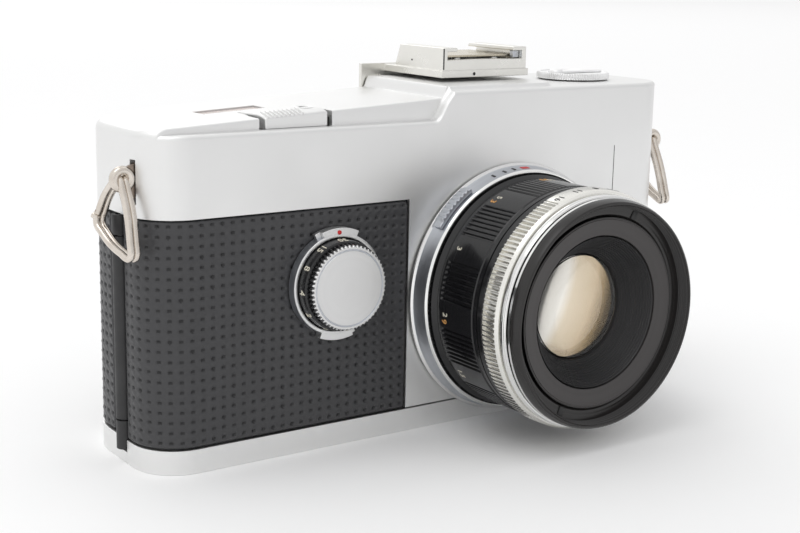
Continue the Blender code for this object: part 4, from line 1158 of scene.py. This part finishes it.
# ---------------------------------------------------------------- top controls
def make_button():
    """The long sloping button: its top follows the deck and rises to a ridge near the front."""
    section = ((-3.0, 0.25), (-6.0, 0.45), (-10.2, 0.62), (-11.8, 0.42), (-13.2, 0.0))
    x0, x1 = -38.4, -24.9
    points = []
    for i in range(13):
        x = x0 + (x1 - x0) * i / 12
        ends = 0.12 if i in (0, 12) else 0.0
        top = [(x, y, deck_z(x) + up - ends) for y, up in section]
        points += [(x, -3.0, 62.8)] + top + [(x, -13.2, 62.8)]
    count = len(section) + 2
    faces = [range(count), range(12 * count, 13 * count)] + net(13, count, False, True)
    button = piece("shutter_button_fine", Shape().add(points, faces), "shutter_button", CHROME,
                   angle=24)
    rounded(button, 0.3, 3)
    ribs = Shape()
    for i in range(9):
        x = -37.7 + 0.92 * i
        tops = [Vector((x, y, deck_z(x) + up)) for y, up in section[2:]]
        for near, far in ((tops[0], tops[1]), (tops[1], tops[2])):
            lean = (far - near).normalized()
            up = Vector((0, lean.z, -lean.y))
            if up.z < 0:
                up = -up
            ribs.add(*prism([(-0.22, -0.12), (0.22, -0.12), (0.13, 0.30), (-0.13, 0.30)], 0.0,
                            (far - near).length,
                            lambda u, v, w, near=near, lean=lean, up=up:
                            near + Vector((u, 0, 0)) + lean * w + up * v))
    rounded(extra("button_ribs", ribs, "shutter_button", CHROME), 0.07)
    z = deck_z(-27.6)
    socket = [(0, z - 0.6), (0.95, z - 0.6), (1.0, z + 0.56), (1.15, z + 0.62), (1.55, z + 0.62),
              (1.75, z + 0.72), (1.95, z + 0.62), (1.95, z - 0.9), (0, z - 0.9)]
    form = spun(socket, 48, upright(-27.6, -9.0), closed=False,
                tag=lambda r, h: 1 if r < 1.3 else 0)
    extra("cable_socket", form, "shutter_button", CHROME, INK)


def make_counter():
    disc = soften([(2.4, 61.4), (7.7, 61.4), (7.7, 62.0), (2.4, 62.0)], 0.1)
    form = spun(disc, 120, upright(COUNTER_X, COUNTER_Y))
    piece("counter_dial", form, "counter_disc", MATT)

    def dial_face(turn):
        place = upright(COUNTER_X, COUNTER_Y, 62.02)
        return lambda u, v, w: place(6.2 + v, turn - u / 6.4, w)

    add_figures("counter_figures", "counter_disc", [
        (str(4 * i), 1.1, dial_face(radians(-90 - 20 * i))) for i in range(18)], WHITE)
    pane = [(-44.3, deck_z(-44.3) - 0.25), (-31.5, deck_z(-31.5) - 0.25),
            (-31.5, deck_z(-31.5) - 0.9), (-44.3, deck_z(-44.3) - 0.9)]
    window = Shape().add(*prism(pane, -0.2, 4.1, along_y))
    rounded(piece("counter_pane", window, "counter_window", WINDOW), 0.1)


def make_rewind():
    knob = [(0, 69.0), (7.9, 69.0), (8.05, 69.2, 0.28), (8.05, 70.05, 0.28), (7.85, 70.3),
            (7.3, 70.35), (7.1, 70.1), (0, 70.1)]
    form = spun(knob, 90 * 8, upright(KNOB_X, KNOB_Y), saw(90), closed=False)
    piece("rewind_knob_turned", form, "rewind_knob", CHROME_KNOB, angle=30)
    outline = arc((42.0, KNOB_Y), 1.9, 90, 270, 12) + arc((53.6, KNOB_Y), 1.4, -90, 90, 10)
    bar = Shape().add(*prism(outline, 70.16, 70.6, along_z))
    button = soften([(0, 71.0), (1.2, 71.0), (1.5, 70.75), (1.5, 70.5), (0, 70.5)], 0.1,
                    closed=False)
    bar.add(*lathe(button, 40, upright(42.0, KNOB_Y), closed=False))
    rounded(piece("rewind_crank_fine", bar, "rewind_crank", CHROME_KNOB), 0.1)


def make_shoe():
    shoe = refined("accessory_shoe", CHROME_SHOE, 0.18)
    for point in shoe.data.vertices:
        x, y, z = point.co / MM
        if z > 71.6 and y > 15 and 8.0 < x < 30.3:
            point.co.y = (12.8 - 0.42 * (z - 72.0)) * MM
    refined("shoe_spring", SPRING, 0.06)
    slit = Shape().add(*box_form((8.10, -5.03, 72.0), (8.22, -4.7, 76.3)))
    slit.add(*lathe([(0, 5.05), (0.34, 5.05), (0.34, 4.9), (0, 4.9)], 20,
                    facing_front(16.0, 71.0), closed=False))
    slit.add(*box_form((8.08, 6.3, 73.2), (8.2, 6.7, 73.5)))
    extra("shoe_marks", slit, "accessory_shoe", INK)
    add_screws("shoe_screws", "accessory_shoe", 0.95, [
        upright(x, y, 73.95) for x in (14.2, 24.1) for y in (-1.0, 11.5)])
    post = Shape().add(*box_form((27.4, -3.6, 74.0), (29.0, -2.4, 75.55)))
    rounded(extra("shoe_stop", post, "accessory_shoe", DARK_METAL_AND_PAINTED_SHADE), 0.15)


def add_screw(form, radius, place):
    """A slotted screw head: two half discs on a lower core."""
    core = [(0, 0.02), (radius * 0.96, 0.02), (radius * 0.96, -0.1), (0, -0.1)]
    form.add(*lathe(core, 32, place, closed=False))
    for flip in (0, pi):
        low = asin(0.18)
        angles = [flip + low + (pi - 2 * low) * i / 14 for i in range(15)]
        count = len(angles)
        top = [place(radius - 0.08, a, radius * 0.28) for a in angles]
        side = [place(radius, a, radius * 0.18) for a in angles]
        base = [place(radius, a, 0.0) for a in angles]
        ends = [range(count), range(2 * count, 3 * count)]
        form.add(top + side + base, ends + net(3, count, False, True))


def add_screws(name, node, radius, places):
    screws = Shape()
    for place in places:
        add_screw(screws, radius, place)
    extra(name, screws, node, STEEL)


def make_base():
    refined("base_plate", CHROME, 0.25, 3)
    for node, width in (("tripod_socket", 0.12), ("latch_disc", 0.1), ("latch_handle", 0.05),
                        ("rewind_release_button", 0.12)):
        refined(node, STEEL, width)
    places = ((-56.0, -9.0), (-56.0, 6.5), (8.0, 12.0), (36.5, -11.5), (-20.0, -12.0))
    add_screws("base_screws", "base_plate", 1.5, [hanging(x, y, 0.42) for x, y in places])


COATED = (
    ("wind_shaft", STEEL), ("rewind_shaft", STEEL), ("dial_shaft", STEEL),
    ("take_up_spool", MATT), ("film_sprocket", STEEL), ("mirror", MIRROR),
    ("shutter_disc", DARK_METAL_AND_PAINTED_SHADE), ("focusing_screen", WINDOW), ("lower_prism", GLASS),
    ("relay_lens", GLASS), ("finder_mirror", GLASS), ("eyepiece_prism", GLASS),
    ("rear_element", GLASS), ("lens_cell", MATT), ("iris_stop", ANODISED),
    ("release_spring", SPRING),
)
ROUNDED = (
    ("body_casting", CASTING, 0.15), ("back_door", CASTING, 0.15), ("wind_lever", CHROME, 0.45, 3),
    ("eyepiece_frame", ENAMEL, 0.25), ("eyepiece_lens", GLASS, 0.1), ("sync_socket", STEEL, 0.12),
    ("lens_release_button", CHROME, 0.2), ("lens_mount_flange", CHROME_LENS, 0.12),
    ("lens_bayonet", STEEL, 0.12),
    ("pressure_plate", ANODISED, 0.15), ("hinge_pin", STEEL, 0.1),
)


def finish_frame():
    """Rounded copies of the outer nodes, and finishes for the inner ones."""
    for row in ROUNDED:
        refined(*row)
    for node, material in COATED:
        mesh = frame["nodes"][node].data
        mesh.materials.clear()
        mesh.materials.append(material)


# ---------------------------------------------------------------- the whole scene
for make in (make_camera, make_world, make_stage, finish_frame, make_cover, make_leather, make_dial,
             make_mount, make_preview_lever, make_focus_ring, make_aperture_ring, make_barrel,
             make_lens_front, make_glass, make_strap_fittings, make_button, make_counter,
             make_rewind, make_shoe, make_base):
    make()
